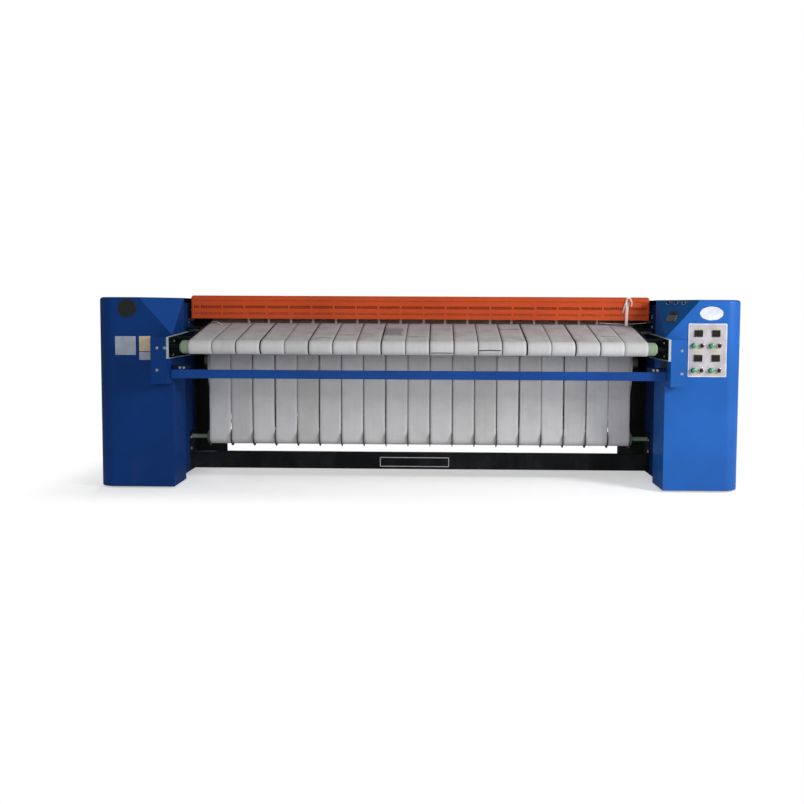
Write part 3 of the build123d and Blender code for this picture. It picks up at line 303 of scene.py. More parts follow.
FINISH = {
    "blue_paint": coat_finish("blue_coat", tint(28, 96, 180)),
    "orange_paint": flat_coat("orange_coat", tint(204, 80, 40), 0.62, grime=0.0),
    "black_paint": flat_coat("black_coat", tint(10, 14, 17), 0.55, gloss=0.1),
    "green_paint": coat_finish("pale_green_coat", tint(140, 158, 134), grime=0.1),
    "bare_steel": metal_finish("ground_steel", tint(176, 176, 178), 0.32, 0.25, 0.35),
    "zinc_steel": metal_finish("zinc_plate", tint(196, 198, 200), 0.36, 0.15, 0.25),
    "drum_steel": metal_finish("satin_drum", tint(216, 208, 192), 0.4, 0.12, 0.1, 0.35),
    "cast_iron": grain_finish("cast_iron_paint", tint(74, 84, 88), 0.5, 260.0, 0.45),
    "chrome": metal_finish("bright_plate", tint(222, 222, 226), 0.12, 0.05, 0.08),
    "brass": metal_finish("turned_brass", tint(206, 168, 96), 0.24, 0.3, 0.2),
    "panel_aluminium": grain_finish("speckled_panel", tint(190, 184, 188), 0.42, 900.0, 0.08),
    "black_rubber": grain_finish("black_rubber", tint(28, 28, 30), 0.75, 500.0, 0.3),
    "black_plastic": grain_finish("black_moulding", tint(20, 20, 22), 0.42, 700.0, 0.12),
    "green_plastic": grain_finish("green_lens", tint(40, 168, 108), 0.22, 900.0, 0.03, coat=0.6),
    "grey_plastic": grain_finish("grey_moulding", tint(112, 114, 118), 0.5, 600.0, 0.15),
    "tape_fabric": finish_of("woven_tape", CLOTH, {
        "Colour": tint(234, 218, 208), "Thread": 0.0012, "Depth": 0.6}, sheen=0.25),
}
# A darker copy of the cabinet blue for the left cabinet's parts: painted shade.
LEFT_SHADE_BLUE = flat_coat("left_shade_blue_coat", tint(12, 58, 124))
# The safety bar's blue; on the left cover's sloping corner it is a copy lighter than the left front: painted
# light.
BAR_AND_LIT_CORNER_BLUE = flat_coat("bar_and_lit_corner_blue_coat", tint(24, 72, 148))
SHADED_BLUE = flat_coat("shaded_blue_coat", tint(24, 84, 150), gloss=0.1)
# A dark navy copy of the blue for the safety bar's mounts and its top part: painted shade.
SHADE_NAVY = flat_coat("shade_navy_coat", tint(12, 26, 62), 0.55, gloss=0.1)
DISC_GREEN = flat_coat("dull_green_coat", tint(112, 128, 110), grime=0.1, gloss=0.2)
RING_DARK = grain_finish("moulded_ring", tint(46, 50, 50), 0.5, 500.0, 0.1)
RIM_ZINC = grain_finish("pale_rim", tint(176, 188, 196), 0.42, 500.0, 0.05)
# Near-black green: the feed side plates' own coat, also laid on the zinc feed slide plate as painted shade.
DARK_GREEN_AND_SHADE = flat_coat("dark_green_coat_and_shade", tint(13, 23, 22), 0.6, gloss=0.08)
KEY_GREY = grain_finish("grey_keys", tint(92, 86, 86), 0.5, 600.0, 0.1)
SCREEN_BROWN = grain_finish("brown_screen", tint(40, 26, 30), 0.2, 50.0, 0.0, coat=0.6)
SCREW_ZINC = metal_finish("screw_zinc", tint(206, 208, 212), 0.28, 0.05, 0.15)
LABEL_CREAM = grain_finish("cream_label", tint(204, 190, 156), 0.38, 800.0, 0.03)
LABEL_GREY = grain_finish("grey_label", tint(170, 177, 194), 0.38, 800.0, 0.03)
LABEL_WHITE = grain_finish("white_label", tint(222, 226, 236), 0.36, 800.0, 0.03)
TAG_YELLOW = grain_finish("yellow_tag", tint(196, 194, 142), 0.4, 800.0, 0.03)
BADGE_BLACK = grain_finish("black_badge", tint(16, 18, 26), 0.28, 800.0, 0.03, coat=0.5)
SCREEN_GLASS = grain_finish("dark_screen", tint(14, 12, 14), 0.08, 50.0, 0.0, coat=1.0)
SEAM_THREAD = grain_finish("seam_thread", tint(40, 42, 44), 0.85, 900.0, 0.5)
BAR_UNLIT = grain_finish("unlit_bar", tint(70, 44, 44), 0.4, 500.0, 0.02)


# ---- making pieces -------------------------------------------------------------------
def body_of(part):
    """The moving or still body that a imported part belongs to."""
    return frame["nodes"][part]["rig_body"]


def place_piece(name, mesh, materials, body="root", stands_for=()):
    """A mesh as a piece of the machine: its finish, its body and the parts it stands for."""
    piece = stand(name, mesh)
    finishes = [face.material_index for face in mesh.polygons]
    mesh.materials.clear()
    for material in materials:
        mesh.materials.append(material)
    mesh.polygons.foreach_set("material_index", finishes)
    if stands_for:
        DRESSED.update(stands_for)
        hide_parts(*stands_for)
    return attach(piece, body)


def mesh_of(shape, name, smooth=True):
    """Ends a bmesh: faces turned outwards, and the result as a mesh."""
    bmesh.ops.recalc_face_normals(shape, faces=shape.faces)
    mesh = bpy.data.meshes.new(name)
    shape.to_mesh(mesh)
    shape.free()
    mesh.polygons.foreach_set("use_smooth", [smooth] * len(mesh.polygons))
    return mesh


def skin(shape, rings, closed=False, layout=None, across=(), runs=()):
    """Faces from each ring of corners to the next; a layout is filled, in metres, from the corners'
    places across and the rings' run lengths."""
    following = rings[1:] + rings[:1] if closed else rings[1:]
    for row, (near, far) in enumerate(zip(rings, following)):
        for index, corner in enumerate(near):
            other = (index + 1) % len(near)
            face = shape.faces.new((corner, near[other], far[other], far[index]))
            if layout:
                laid = ((index, row), (other, row), (other, row + 1), (index, row + 1))
                for loop, (side, step) in zip(face.loops, laid):
                    loop[layout].uv = (across[side], runs[step])


def closed_tube(shape, rings):
    """A skin over a row of rings, with a flat face at both ends."""
    skin(shape, rings)
    shape.faces.new(rings[0])
    shape.faces.new(rings[-1][::-1])


def close_fold(shape, ring):
    """The end of a section whose corners run out along one side and back along the other."""
    last = len(ring) - 1
    for index in range(last // 2):
        shape.faces.new((ring[index], ring[index + 1], ring[last - 1 - index], ring[last - index]))


def ease_edges(piece, width):
    """Rounds a piece's edges where two faces meet at more than 32 degrees, and lets its large faces
    lead the shading, so that they stay flat."""
    edge = piece.modifiers.new("edge", "BEVEL")
    edge.width, edge.segments, edge.limit_method = width, 2, "ANGLE"
    edge.angle_limit = math.radians(32)
    shade = piece.modifiers.new("shade", "WEIGHTED_NORMAL")
    shade.mode, shade.weight = "FACE_AREA", 80
    return piece


def merged_copy(part):
    """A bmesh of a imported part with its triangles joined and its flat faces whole."""
    shape = bmesh.new()
    shape.from_mesh(frame["nodes"][part].data)
    bmesh.ops.remove_doubles(shape, verts=shape.verts, dist=0.00001)
    bmesh.ops.dissolve_limit(
        shape, angle_limit=math.radians(0.4), verts=shape.verts, edges=shape.edges, delimit={"NORMAL"}
    )
    return shape


def dress(part, materials=None, choose=None, cuts=()):
    """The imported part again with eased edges; choose gives each face its material by its middle
    and the way it faces, and faces are first parted at the cuts, each a place along the X, Y or Z axis."""
    shape = merged_copy(part)
    for place, axis in cuts:
        whole = shape.verts[:] + shape.edges[:] + shape.faces[:]
        way = Vector([float(index == "XYZ".index(axis)) for index in range(3)])
        bmesh.ops.bisect_plane(shape, geom=whole, dist=0.00001, plane_co=way * place, plane_no=way)
    if choose:
        for face in shape.faces:
            face.material_index = choose(face.calc_center_median(), face.normal)
    mesh = bpy.data.meshes.new(part + "_piece")
    shape.to_mesh(mesh)
    shape.free()
    mesh.polygons.foreach_set("use_smooth", [True] * len(mesh.polygons))
    materials = materials or [FINISH[SLOT_OF[part]]]
    piece = place_piece(part + "_piece", mesh, materials, body_of(part), (part,))
    return ease_edges(piece, EASED.get(part, usual_ease))


def rounded_outline(wide, high, corner, steps=5):
    """Points of a rectangle with rounded corners about its middle, anticlockwise."""
    points = []
    for turn, (across, up) in enumerate(((1, 1), (-1, 1), (-1, -1), (1, -1))):
        middle = Vector((across * (wide / 2 - corner), up * (high / 2 - corner)))
        for step in range(steps + 1):
            points.append(middle + way_at((turn + step / steps) * math.pi / 2) * corner)
    return points


def prism(shape, outline, to_space, thick):
    """Adds a plate to the bmesh: an outline and its copy set back by thick, and the rim."""
    front = [shape.verts.new(to_space(p.x, p.y, thick)) for p in outline]
    back = [shape.verts.new(to_space(p.x, p.y, 0.0)) for p in outline]
    shape.faces.new(front)
    shape.faces.new(back[::-1])
    for index in range(len(outline)):
        after = (index + 1) % len(outline)
        shape.faces.new((front[index], back[index], back[after], front[after]))


def facing_front(x, z, face):
    """Places across and up on a surface that faces the operator."""
    return lambda across, up, out: (x + across, face - out, z + up)


def add_plate(name, middle, size, face, material, corner=0.003, thick=0.001):
    """A bare plate or label on a front surface."""
    shape = bmesh.new()
    prism(shape, rounded_outline(*size, corner), facing_front(*middle, face), thick)
    return ease_edges(place_piece(name, mesh_of(shape, name), [material]), thick / 4)


# ---- the belts' line round the rollers -----------------------------------------------
belt_count = 19
belt_width = 0.150
belt_pitch = (2 * belts_half + 0.006) / belt_count
belt_sheet = 0.003
running_gap = 0.0003
belt_drift = 0.0024        # how far a belt may stand off its line, away from the guide rings
drift_seed = 5259
belt_wave = 0.0022         # how far a slack run swells
held_reach, easing_reach = 0.07, 0.05      # from the guide rings' axis, where a belt keeps its line
drum_step, roller_step = 3.4, 9            # degrees between the belts' rows where they go round


def wheel_of(part, side):
    """Centre, radius, and side of the belts' loop (-1 inside, 1 outside) of a turned part."""
    low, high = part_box(part)
    return Vector(((low.y + high.y) / 2, (low.z + high.z) / 2)), (high.z - low.z) / 2, side


feed_wheel = wheel_of("front_feed_roller", -1)
nip_wheel = wheel_of("nip_roller", -1)
drum_wheel = wheel_of("drum_shell", 1)
low_rear_wheel = wheel_of("lower_rear_roller", -1)
low_front_wheel = (wheel_of("lower_front_roller", -1)[0], low_rear_wheel[1], -1)
bend_wheel = wheel_of("belt_guide_roller", 1)
WHEELS = [feed_wheel, nip_wheel, drum_wheel, wheel_of("rear_top_roller", -1), low_rear_wheel,
          low_front_wheel, bend_wheel]
RUN_STEP = (0.015, 0.02, 0.02, 0.05, 0.06, 0.035, 0.025)    # one for each straight run
RUN_SLACK = (0.5, 0.0, 0.0, 1.2, 1.5, 0.9, 0.8)


def belt_line():
    """Rows along the belts' inner face: place, outward way, run length, and slack."""
    rims = []
    for spot, radius, side in WHEELS:
        rims.append((spot, radius + running_gap + (belt_sheet if side > 0 else 0), side))
    leave, arrive = [], []
    for (here, near, inner), (there, far, outer) in zip(rims, rims[1:] + rims[:1]):
        span = there - here
        run = math.atan2(span.y, span.x) - math.asin((outer * far - inner * near) / span.length)
        across = Vector((-math.sin(run), math.cos(run)))
        leave.append(here - across * inner * near)
        arrive.append(there - across * outer * far)
    rows, along = [], 0.0
    for index, start in enumerate(leave):
        end = arrive[index]
        run = end - start
        across = Vector((-run.y, run.x)).normalized()
        steps = math.ceil(run.length / RUN_STEP[index])
        for step in range(steps):
            share = step / steps
            slack = RUN_SLACK[index] * math.sin(math.pi * share) ** 2
            rows.append((start + run * share, across, along + run.length * share, slack))
        along += run.length
        spot, radius, side = rims[(index + 1) % len(rims)]
        first = math.atan2(end.y - spot.y, end.x - spot.x)
        off = leave[(index + 1) % len(leave)] - spot
        sweep = side * ((side * (math.atan2(off.y, off.x) - first)) % math.tau)
        steps = math.ceil(abs(sweep) / math.radians(drum_step if radius > 0.2 else roller_step))
        for step in range(steps):
            angle = first + sweep * step / steps
            ray = way_at(angle)
            rows.append((spot + ray * radius, ray * -side, along + radius * abs(sweep) * step / steps, 0.0))
        along += radius * abs(sweep)
    return rows, along


BELT_ROWS, belt_length = belt_line()


def on_belt(x, along, lift):
    """A point over the belts' outer face, at a run length from the feed roller's top."""
    along %= belt_length
    place, out, _, _ = BELT_ROWS[-1]
    for (here, way, start, _), (ahead, _, end, _) in zip(BELT_ROWS, BELT_ROWS[1:]):
        if start <= along < end:
            place, out = here.lerp(ahead, (along - start) / (end - start)), way
            break
    spot = place + out * (belt_sheet + lift)
    return Vector((x, spot.x, spot.y))


def one_belt():
    """One belt about X = 0: closed loop with rounded edges, its layout in metres and its slack."""
    half, soft = belt_width / 2, 0.0008
    across = [half - soft, 0.054, 0.03, 0.0, -0.03, -0.054, soft - half]
    section = [(x, belt_sheet) for x in across] + [(-half, belt_sheet - soft), (-half, soft)]
    section += [(x, 0.0) for x in across[::-1]] + [(half, soft), (half, belt_sheet - soft)]
    shape = bmesh.new()
    layout = shape.loops.layers.uv.new("cloth")
    slack_of = shape.verts.layers.float.new("slack")
    free_of = shape.verts.layers.float.new("free")
    out_of = shape.verts.layers.float_vector.new("outward")
    rings = []
    for place, out, _, slack in BELT_ROWS:
        from_rings = (place - low_front_wheel[0]).length
        ring = []
        for x, lift in section:
            spot = place + out * lift
            corner = shape.verts.new((x, spot.x, spot.y))
            corner[slack_of], corner[out_of] = slack, Vector((0, out.x, out.y))
            corner[free_of] = min(max(from_rings - held_reach, 0.0) / easing_reach, 1.0)
            ring.append(corner)
        rings.append(ring)
    runs = [start for _, _, start, _ in BELT_ROWS] + [belt_length]
    skin(shape, rings, True, layout, [x for x, _ in section], runs)
    return mesh_of(shape, "one_belt")


# ---- shapes that repeat, by Geometry Nodes -------------------------------------------
def start_tree(name, inputs):
    """A geometry tree with named inputs; gives the tree, its inputs and its output node."""
    tree = bpy.data.node_groups.new(name, "GeometryNodeTree")
    kinds = {"Geometry": "NodeSocketGeometry", "Count": "NodeSocketInt", "Sides": "NodeSocketInt",
             "Seed": "NodeSocketInt", "Finish": "NodeSocketMaterial", "Facing": "NodeSocketVector"}
    for label in ["Geometry", *inputs]:
        tree.interface.new_socket(
            name=label, in_out="INPUT", socket_type=kinds.get(label, "NodeSocketFloat"))
    tree.interface.new_socket(name="Geometry", in_out="OUTPUT", socket_type="NodeSocketGeometry")
    return tree, tree.nodes.new("NodeGroupInput").outputs, tree.nodes.new("NodeGroupOutput")


def grown(name, mesh, tree, values):
    """The plain mesh that a geometry tree makes of a mesh with those input values."""
    seedling = stand(name + "_start", mesh)
    growth = seedling.modifiers.new("growth", "NODES")
    growth.node_group = tree
    for socket in tree.interface.items_tree:
        if socket.in_out == "INPUT" and socket.name in values:
            growth[socket.identifier] = values[socket.name]
    graph = bpy.context.evaluated_depsgraph_get()
    result = bpy.data.meshes.new_from_object(
        seedling.evaluated_get(graph), preserve_all_data_layers=True, depsgraph=graph)
    bpy.data.objects.remove(seedling)
    result.name = name
    return result


def copies_in_row(tree, given, spacing, middle=0.0):
    """Copies of the given shape side by side along X about a middle, each of them still apart."""
    last = maths(tree, "SUBTRACT", given["Count"], 1)
    first = maths(tree, "ADD", middle, maths(tree, "MULTIPLY", last, spacing, -0.5))
    start = node(tree, "ShaderNodeCombineXYZ", {0: first}).outputs[0]
    step = node(tree, "ShaderNodeCombineXYZ", {0: spacing}).outputs[0]
    places = {"Count": given["Count"], "Start Location": start, "Offset": step}
    line = node(tree, "GeometryNodeMeshLine", places)
    copies = {"Points": line.outputs[0], "Instance": given["Geometry"]}
    return node(tree, "GeometryNodeInstanceOnPoints", copies).outputs[0]


def made_real(tree, copies):
    """Copies joined into one shape."""
    return node(tree, "GeometryNodeRealizeInstances", {0: copies}).outputs[0]


def end_tree(tree, shape, given, result):
    """Gives the shape its finish and ends the tree."""
    done = node(tree, "GeometryNodeSetMaterial", {"Geometry": shape, "Material": given["Finish"]}).outputs[0]
    tree.links.new(done, result.inputs[0])
    return tree


def belt_row_tree():
    """Belts side by side, each a little off its line and slack where it runs free."""
    tree, given, result = start_tree("belt_row", ["Count", "Pitch", "Drift", "Wave", "Seed", "Finish"])

    def stored(name, kind="FLOAT"):
        return node(tree, "GeometryNodeInputNamedAttribute", {"Name": name}, data_type=kind).outputs[0]

    row = copies_in_row(tree, given, given["Pitch"])
    numbered = node(tree, "GeometryNodeStoreNamedAttribute", {
        "Geometry": row, "Name": "belt"}, data_type="FLOAT", domain="INSTANCE")
    number = next(socket for socket in numbered.inputs if socket.name == "Value" and socket.enabled)
    tree.links.new(node(tree, "GeometryNodeInputIndex").outputs[0], number)
    belt = stored("belt")
    ripple = node(tree, "ShaderNodeTexNoise", {
        "Vector": node(tree, "GeometryNodeInputPosition").outputs[0], "W": maths(tree, "MULTIPLY", belt, 3.7),
        "Scale": 4.5, "Detail": 1.0}, noise_dimensions="4D").outputs[0]
    swell = maths(tree, "MULTIPLY", stored("slack"), given["Wave"], ripple)
    push = node(tree, "ShaderNodeVectorMath", {
        0: stored("outward", "FLOAT_VECTOR"), "Scale": swell}, operation="SCALE").outputs[0]
    chance = {"ID": maths(tree, "ROUND", belt), "Seed": given["Seed"], 2: -1.0, 3: 1.0}
    stray = node(tree, "FunctionNodeRandomValue", chance, data_type="FLOAT").outputs[1]
    aside = maths(tree, "MULTIPLY", stray, stored("free"), given["Drift"])
    moved = node(tree, "ShaderNodeVectorMath", {
        0: push, 1: node(tree, "ShaderNodeCombineXYZ", {0: aside}).outputs[0]}, operation="ADD").outputs[0]
    shaped = node(tree, "GeometryNodeSetPosition", {
        "Geometry": made_real(tree, numbered.outputs[0]), "Offset": moved}).outputs[0]
    return end_tree(tree, shaped, given, result)


def row_tree():
    """One shape repeated in a straight row along X about a middle, joined into one mesh."""
    tree, given, result = start_tree("row", ["Count", "Spacing", "Middle", "Finish"])
    row = copies_in_row(tree, given, given["Spacing"], given["Middle"])
    return end_tree(tree, made_real(tree, row), given, result)


def screw_tree():
    """A washer and a round head on every point, standing out along one way."""
    tree, given, result = start_tree("screw_heads", ["Head", "Height", "Facing", "Sides", "Finish"])
    washer = node(tree, "GeometryNodeMeshCylinder", {
        "Vertices": 20, "Radius": maths(tree, "MULTIPLY", given["Head"], 1.45),
        "Depth": maths(tree, "MULTIPLY", given["Height"], 0.5)})
    head = node(tree, "GeometryNodeMeshCylinder", {
        "Vertices": given["Sides"], "Radius": given["Head"],
        "Depth": maths(tree, "MULTIPLY", given["Height"], 2.0)})
    both = node(tree, "GeometryNodeJoinGeometry")
    for shape in (washer, head):
        tree.links.new(shape.outputs[0], both.inputs[0])
    turn = node(tree, "FunctionNodeAlignRotationToVector", {"Vector": given["Facing"]}, axis="Z")
    heads = node(tree, "GeometryNodeInstanceOnPoints", {
        "Points": given["Geometry"], "Instance": both.outputs[0], "Rotation": turn.outputs[0]}).outputs[0]
    return end_tree(tree, made_real(tree, heads), given, result)


BELT_ROW, ROW, SCREWS = belt_row_tree(), row_tree(), screw_tree()


def add_screws(name, places, head, height, facing=(0, -1, 0), sides=20):
    """Screw heads at these places, all facing one way."""
    mesh = bpy.data.meshes.new(name + "_places")
    mesh.from_pydata([tuple(place) for place in places], [], [])
    made = grown(name, mesh, SCREWS, {
        "Head": head, "Height": height, "Facing": facing, "Sides": sides, "Finish": SCREW_ZINC})
    return ease_edges(place_piece(name, made, [SCREW_ZINC]), height / 5)


# ---- belts ---------------------------------------------------------------------------
stain_x, stain_run = -0.171, 0.245         # middle of the dark stain


def belt_finish():
    """Pale belt cloth, each belt a little different, with smudges, a worn edge, one dark stain, and painted
    shade on the feed run.
    """
    material = bpy.data.materials.new("belt_cloth")
    tree = empty_tree(material)
    layout = node(tree, "ShaderNodeUVMap", uv_map="cloth").outputs[0]
    belt = node(tree, "ShaderNodeAttribute", attribute_name="belt").outputs["Fac"]
    place = object_place(tree)
    own = node(tree, "ShaderNodeTexWhiteNoise", {"W": belt}, noise_dimensions="1D").outputs[0]
    shift = node(tree, "ShaderNodeCombineXYZ", {0: maths(tree, "MULTIPLY", belt, 0.83)}).outputs[0]
    apart = node(tree, "ShaderNodeVectorMath", {0: layout, 1: shift}, operation="ADD").outputs[0]
    across, along, _ = node(tree, "ShaderNodeSeparateXYZ", {0: layout}).outputs
    fresh = blended(tree, own, tint(200, 199, 199), tint(216, 216, 218))
    # Painted shade: the run over the feed table is darker than the rest of the loop, greyer near the feed
    # roller and pinker further back.
    feed_run_shade = blended(tree, ramp(tree, along, 0.0, 0.30), tint(190, 194, 192), tint(174, 165, 168))
    base = blended(tree, maths(tree, "MULTIPLY", ramp(tree, along, 0.62, 0.50), 0.85), fresh, feed_run_shade)
    smudge = ramp(tree, speckle(tree, apart, 7.0, 5.0, 0.62), 0.42, 0.74, 0.0, 0.55)
    # the smudges weigh more along the feed run
    feed_run_weight = maths(tree, "ADD", maths(tree, "MULTIPLY", ramp(tree, along, 0.62, 0.30), 0.75), 0.25)
    smudged = blended(tree, maths(tree, "MULTIPLY", smudge, feed_run_weight), base, tint(128, 119, 121))
    streak = ramp(tree, speckle(tree, apart, 40.0, 3.0, 0.6, (1.0, 0.05, 1)), 0.5, 0.8, 0.0, 0.12)
    streaked = blended(tree, streak, smudged, tint(140, 136, 138))
    fray = ramp(tree, maths(tree, "ABSOLUTE", across), 0.068, 0.076, 0.0, 0.3)
    worn = blended(tree, fray, streaked, tint(120, 116, 118))
    from_left = node(tree, "ShaderNodeSeparateXYZ", {0: place}).outputs[0]
    aside = maths(tree, "ABSOLUTE", maths(tree, "ADD", from_left, -stain_x))
    ahead = maths(tree, "ABSOLUTE", maths(tree, "ADD", along, -stain_run))
    ragged = maths(tree, "MULTIPLY", speckle(tree, place, 22.0, 4.0, 0.7, (1, 1, 0.3)), 0.06)
    stain = maths(tree, "MULTIPLY", ramp(tree, maths(tree, "ADD", aside, ragged), 0.108, 0.080),
                  ramp(tree, maths(tree, "ADD", ahead, ragged), 0.160, 0.10), 0.7)
    stained = blended(tree, stain, worn, tint(84, 78, 84))
    close_surface(tree, CLOTH, {"Colour": stained, "Roughness": 0.82, "Thread": 0.0022, "Depth": 0.35}, {
        "Sheen Weight": 0.2})
    return material


def add_belts():
    """The row of belts round the rollers."""
    finish = belt_finish()
    made = grown("belts", one_belt(), BELT_ROW, {
        "Count": belt_count, "Pitch": belt_pitch, "Drift": belt_drift, "Wave": belt_wave, "Seed": drift_seed,
        "Finish": finish})
    made.polygons.foreach_set("use_smooth", [True] * len(made.polygons))
    belts = place_piece("belts", made, [finish], "root", ("ironing_belts",))
    return belts


def on_feed_roller(angle):
    """Run length of a place on the feed roller's front, its angle in degrees from level at the rear."""
    spot, radius, _ = feed_wheel
    leave = math.degrees(math.atan2(*(BELT_ROWS[0][0] - spot).yx))
    return -math.radians(angle % 360 - leave) * (radius + running_gap)


SEAMS = [  # belt, first and last X, run length, the height of a bend in the middle, half the seam's width
    (5, -0.680, -0.562, 0.066, 0.020, 0.0030), (6, -0.526, -0.407, 0.150, 0.0, 0.0030),
    (9, -0.066, 0.059, 0.107, 0.003, 0.0030), (13, 0.548, 0.685, 0.328, 0.0, 0.0060),
    (17, 1.201, 1.307, 0.145, 0.0, 0.0024), (10, 0.087, 0.228, on_feed_roller(-140.5), 0.0, 0.0036),
    (12, 0.394, 0.535, on_feed_roller(-166.0), 0.002, 0.0034),
]


def add_seams():
    """Sewn joins across some belts: a low ridge of thread with its stitches."""
    shape = bmesh.new()
    lift, sunk, steps = 0.0011, -0.0002, 36
    for belt, first, last, along, bend, half in SEAMS:
        rows = []
        for step in range(steps + 1):
            share = step / steps
            x = first + (last - first) * share
            hump = bend * math.exp(-((share - 0.52) / 0.16) ** 2)
            wander = 0.0014 * noise.noise(Vector((x * 18, belt, 0)))
            middle = along + hump + wander
            stitch = lift * (0.75 + 0.25 * (step % 2))
            rows.append([shape.verts.new(on_belt(x, middle + aside, up)) for aside, up in (
                (-half, sunk), (-half / 2, stitch), (half / 2, stitch), (half, sunk))])
        closed_tube(shape, rows)
    place_piece("belt_seams", mesh_of(shape, "belt_seams"), [SEAM_THREAD], "root")


# ---- cloth strips --------------------------------------------------------------------
def strip_mesh(name, centre, wide, thick, turn):
    """A ribbon along a line of points and its length; turn gives the way of its width at a share of
    the line, and its layout is in metres."""
    shape = bmesh.new()
    layout = shape.loops.layers.uv.new("cloth")
    sides = (-0.5, -0.17, 0.17, 0.5)
    around = [(side, 1) for side in sides] + [(side, -1) for side in sides[::-1]]
    cup = 0.03 * wide
    rings, runs = [], []
    for index, spot in enumerate(centre):
        ahead = (centre[min(index + 1, len(centre) - 1)] - centre[max(index - 1, 0)]).normalized()
        across = turn(index / (len(centre) - 1)).normalized()
        across = (across - ahead * across.dot(ahead)).normalized()
        up = ahead.cross(across)
        runs.append(runs[-1] + (spot - centre[index - 1]).length if index else 0.0)
        rings.append([shape.verts.new(
            spot + across * side * wide + up * (face * thick / 2 + cup * (0.25 - side * side))
        ) for side, face in around])
    skin(shape, rings, False, layout, [side * wide for side, _ in around], runs)
    for ring in (rings[0], rings[-1]):
        close_fold(shape, ring)
    return mesh_of(shape, name), runs[-1]


def add_ribbon(name, centre, wide, thick, turn, body, stands_for=()):
    """A strip of tape as a piece on its body."""
    mesh, length = strip_mesh(name, centre, wide, thick, turn)
    piece = place_piece(name, mesh, [FINISH["tape_fabric"]], body, stands_for)


def place_cloth_piece(name, shape, body):
    """A small cloth piece, its layout its own X and Z in metres."""
    layout = shape.loops.layers.uv.new("cloth")
    for face in shape.faces:
        for loop in face.loops:
            loop[layout].uv = (loop.vert.co.x, loop.vert.co.z)
    place_piece(name, mesh_of(shape, name), [FINISH["tape_fabric"]], body)


TAPE_PLACES = (-1.230, -1.071, -0.908, -0.751, -0.594, -0.442, -0.287, -0.132, 0.029, 0.180, 0.336, 0.495,
               0.653, 0.807, 0.966, 1.120, 1.252)


def add_guide_tapes():
    """Strip tapes looped round their bar, hanging down to the press roller."""
    bar_low, bar_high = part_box("guide_tape_bar")
    tape_low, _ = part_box("guide_tapes")
    bar_y, bar_z, reach = (bar_low.y + bar_high.y) / 2, (bar_low.z + bar_high.z) / 2, 0.0089
    drop = bar_z - tape_low.z
    wide, thick = 0.017, 0.0008
    for index, x in enumerate(TAPE_PLACES):
        dice = random.Random(index + 3)
        lean, swing = dice.uniform(-0.006, 0.006) - (0.022 if index == 0 else 0), dice.uniform(0.1, 0.5)
        points = []
        for step in range(19):
            angle = math.radians(-60 + 240 * step / 18)
            points.append(Vector((x, bar_y + reach * math.cos(angle), bar_z + reach * math.sin(angle))))
        for step in range(1, 15):
            share = step / 14
            bow = 0.004 * math.sin(math.pi * share) * swing
            points.append(Vector((x - lean * share, bar_y - reach - bow, bar_z - drop * share)))
        add_ribbon(f"guide_tape_{index + 1:02d}", points, wide, thick, lambda share: Vector(
            (1, 0.5 * swing * math.sin(math.pi * max(share - 0.55, 0)), 0)),
            "root", ("guide_tapes",))


def curve_through(spots):
    """A smooth line through a few places."""
    line, steps = [], 10
    for index in range(len(spots) - 1):
        before, start = spots[max(index - 1, 0)], spots[index]
        end, after = spots[index + 1], spots[min(index + 2, len(spots) - 1)]
        square = 2 * before - 5 * start + 4 * end - after
        cube = 3 * start - before - 3 * end + after
        for step in range(steps):
            t = step / steps
            line.append(0.5 * (2 * start + (end - before) * t + square * t ** 2 + cube * t ** 3))
    return line + [spots[-1]]


# ---- the tape tied round the hood ----------------------------------------------------
def add_tied_tape():
    """A ribbon tied over the hood: its long end, a short end, a knot and a loop."""
    tape_low, tape_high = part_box("tie_tape")
    middle, wide = (tape_low.x + tape_high.x) / 2, tape_high.x - tape_low.x
    stand_off = 0.0012         # hood's sheet to the ribbon's middle
    face = hood_low.y - stand_off

    def over(x, z, lift):
        """A place on the hood's front or round its top bend, by height, lifted so far off the sheet."""
        drop = hood_high.z - hood_bend
        if z <= drop:
            return Vector((x, face - lift, z))
        angle = math.asin(min((z - drop) / hood_bend, 1.0))
        reach = hood_bend + stand_off + lift
        return Vector((x, hood_low.y + hood_bend - reach * math.cos(angle), drop + reach * math.sin(angle)))

    long_end = [over(middle - 0.009, hood_high.z - 0.006, 0.002), over(middle - 0.010, 1.235, 0.004),
                over(middle - 0.012, 1.190, 0.002), over(middle - 0.014, 1.145, 0.003),
                Vector((middle - 0.014, face - 0.001, tape_low.z))]
    short_end = [over(middle - 0.012, 1.276, 0.004), over(middle - 0.022, 1.250, 0.009),
                 over(middle - 0.034, 1.215, 0.010), over(middle - 0.042, 1.183, 0.006)]
    loop_end = [over(middle + 0.012, 1.279, 0.003), over(middle + 0.020, 1.258, 0.008),
                over(middle + 0.016, 1.232, 0.010), over(middle + 0.004, 1.240, 0.008),
                over(middle + 0.004, 1.268, 0.004)]
    for name, spots, width, twist, stands_for in (
            ("tied_tape", long_end, wide, 0.3, ("tie_tape",)), ("tied_tape_short", short_end, 0.012, 1.2, ()),
            ("tied_tape_loop", loop_end, 0.010, 2.0, ())):
        add_ribbon(name, curve_through(spots), width, 0.0007, lambda share: Vector(
            (math.cos(twist * share), -math.sin(twist * share), 0)),
            "hood", stands_for)
    knot = bmesh.new()
    bmesh.ops.create_icosphere(knot, subdivisions=4, radius=0.5)
    spot, size = over(middle - 0.002, 1.283, 0.004), (0.034, 0.012, 0.014)
    for corner in knot.verts:
        fold = 1 + 0.16 * noise.noise(corner.co * 5.2) + 0.05 * math.sin(corner.co.x * 16 + corner.co.z * 6)
        corner.co = spot + Vector([place * reach for place, reach in zip(corner.co, size)]) * fold
    place_cloth_piece("tied_tape_knot", knot, "hood")


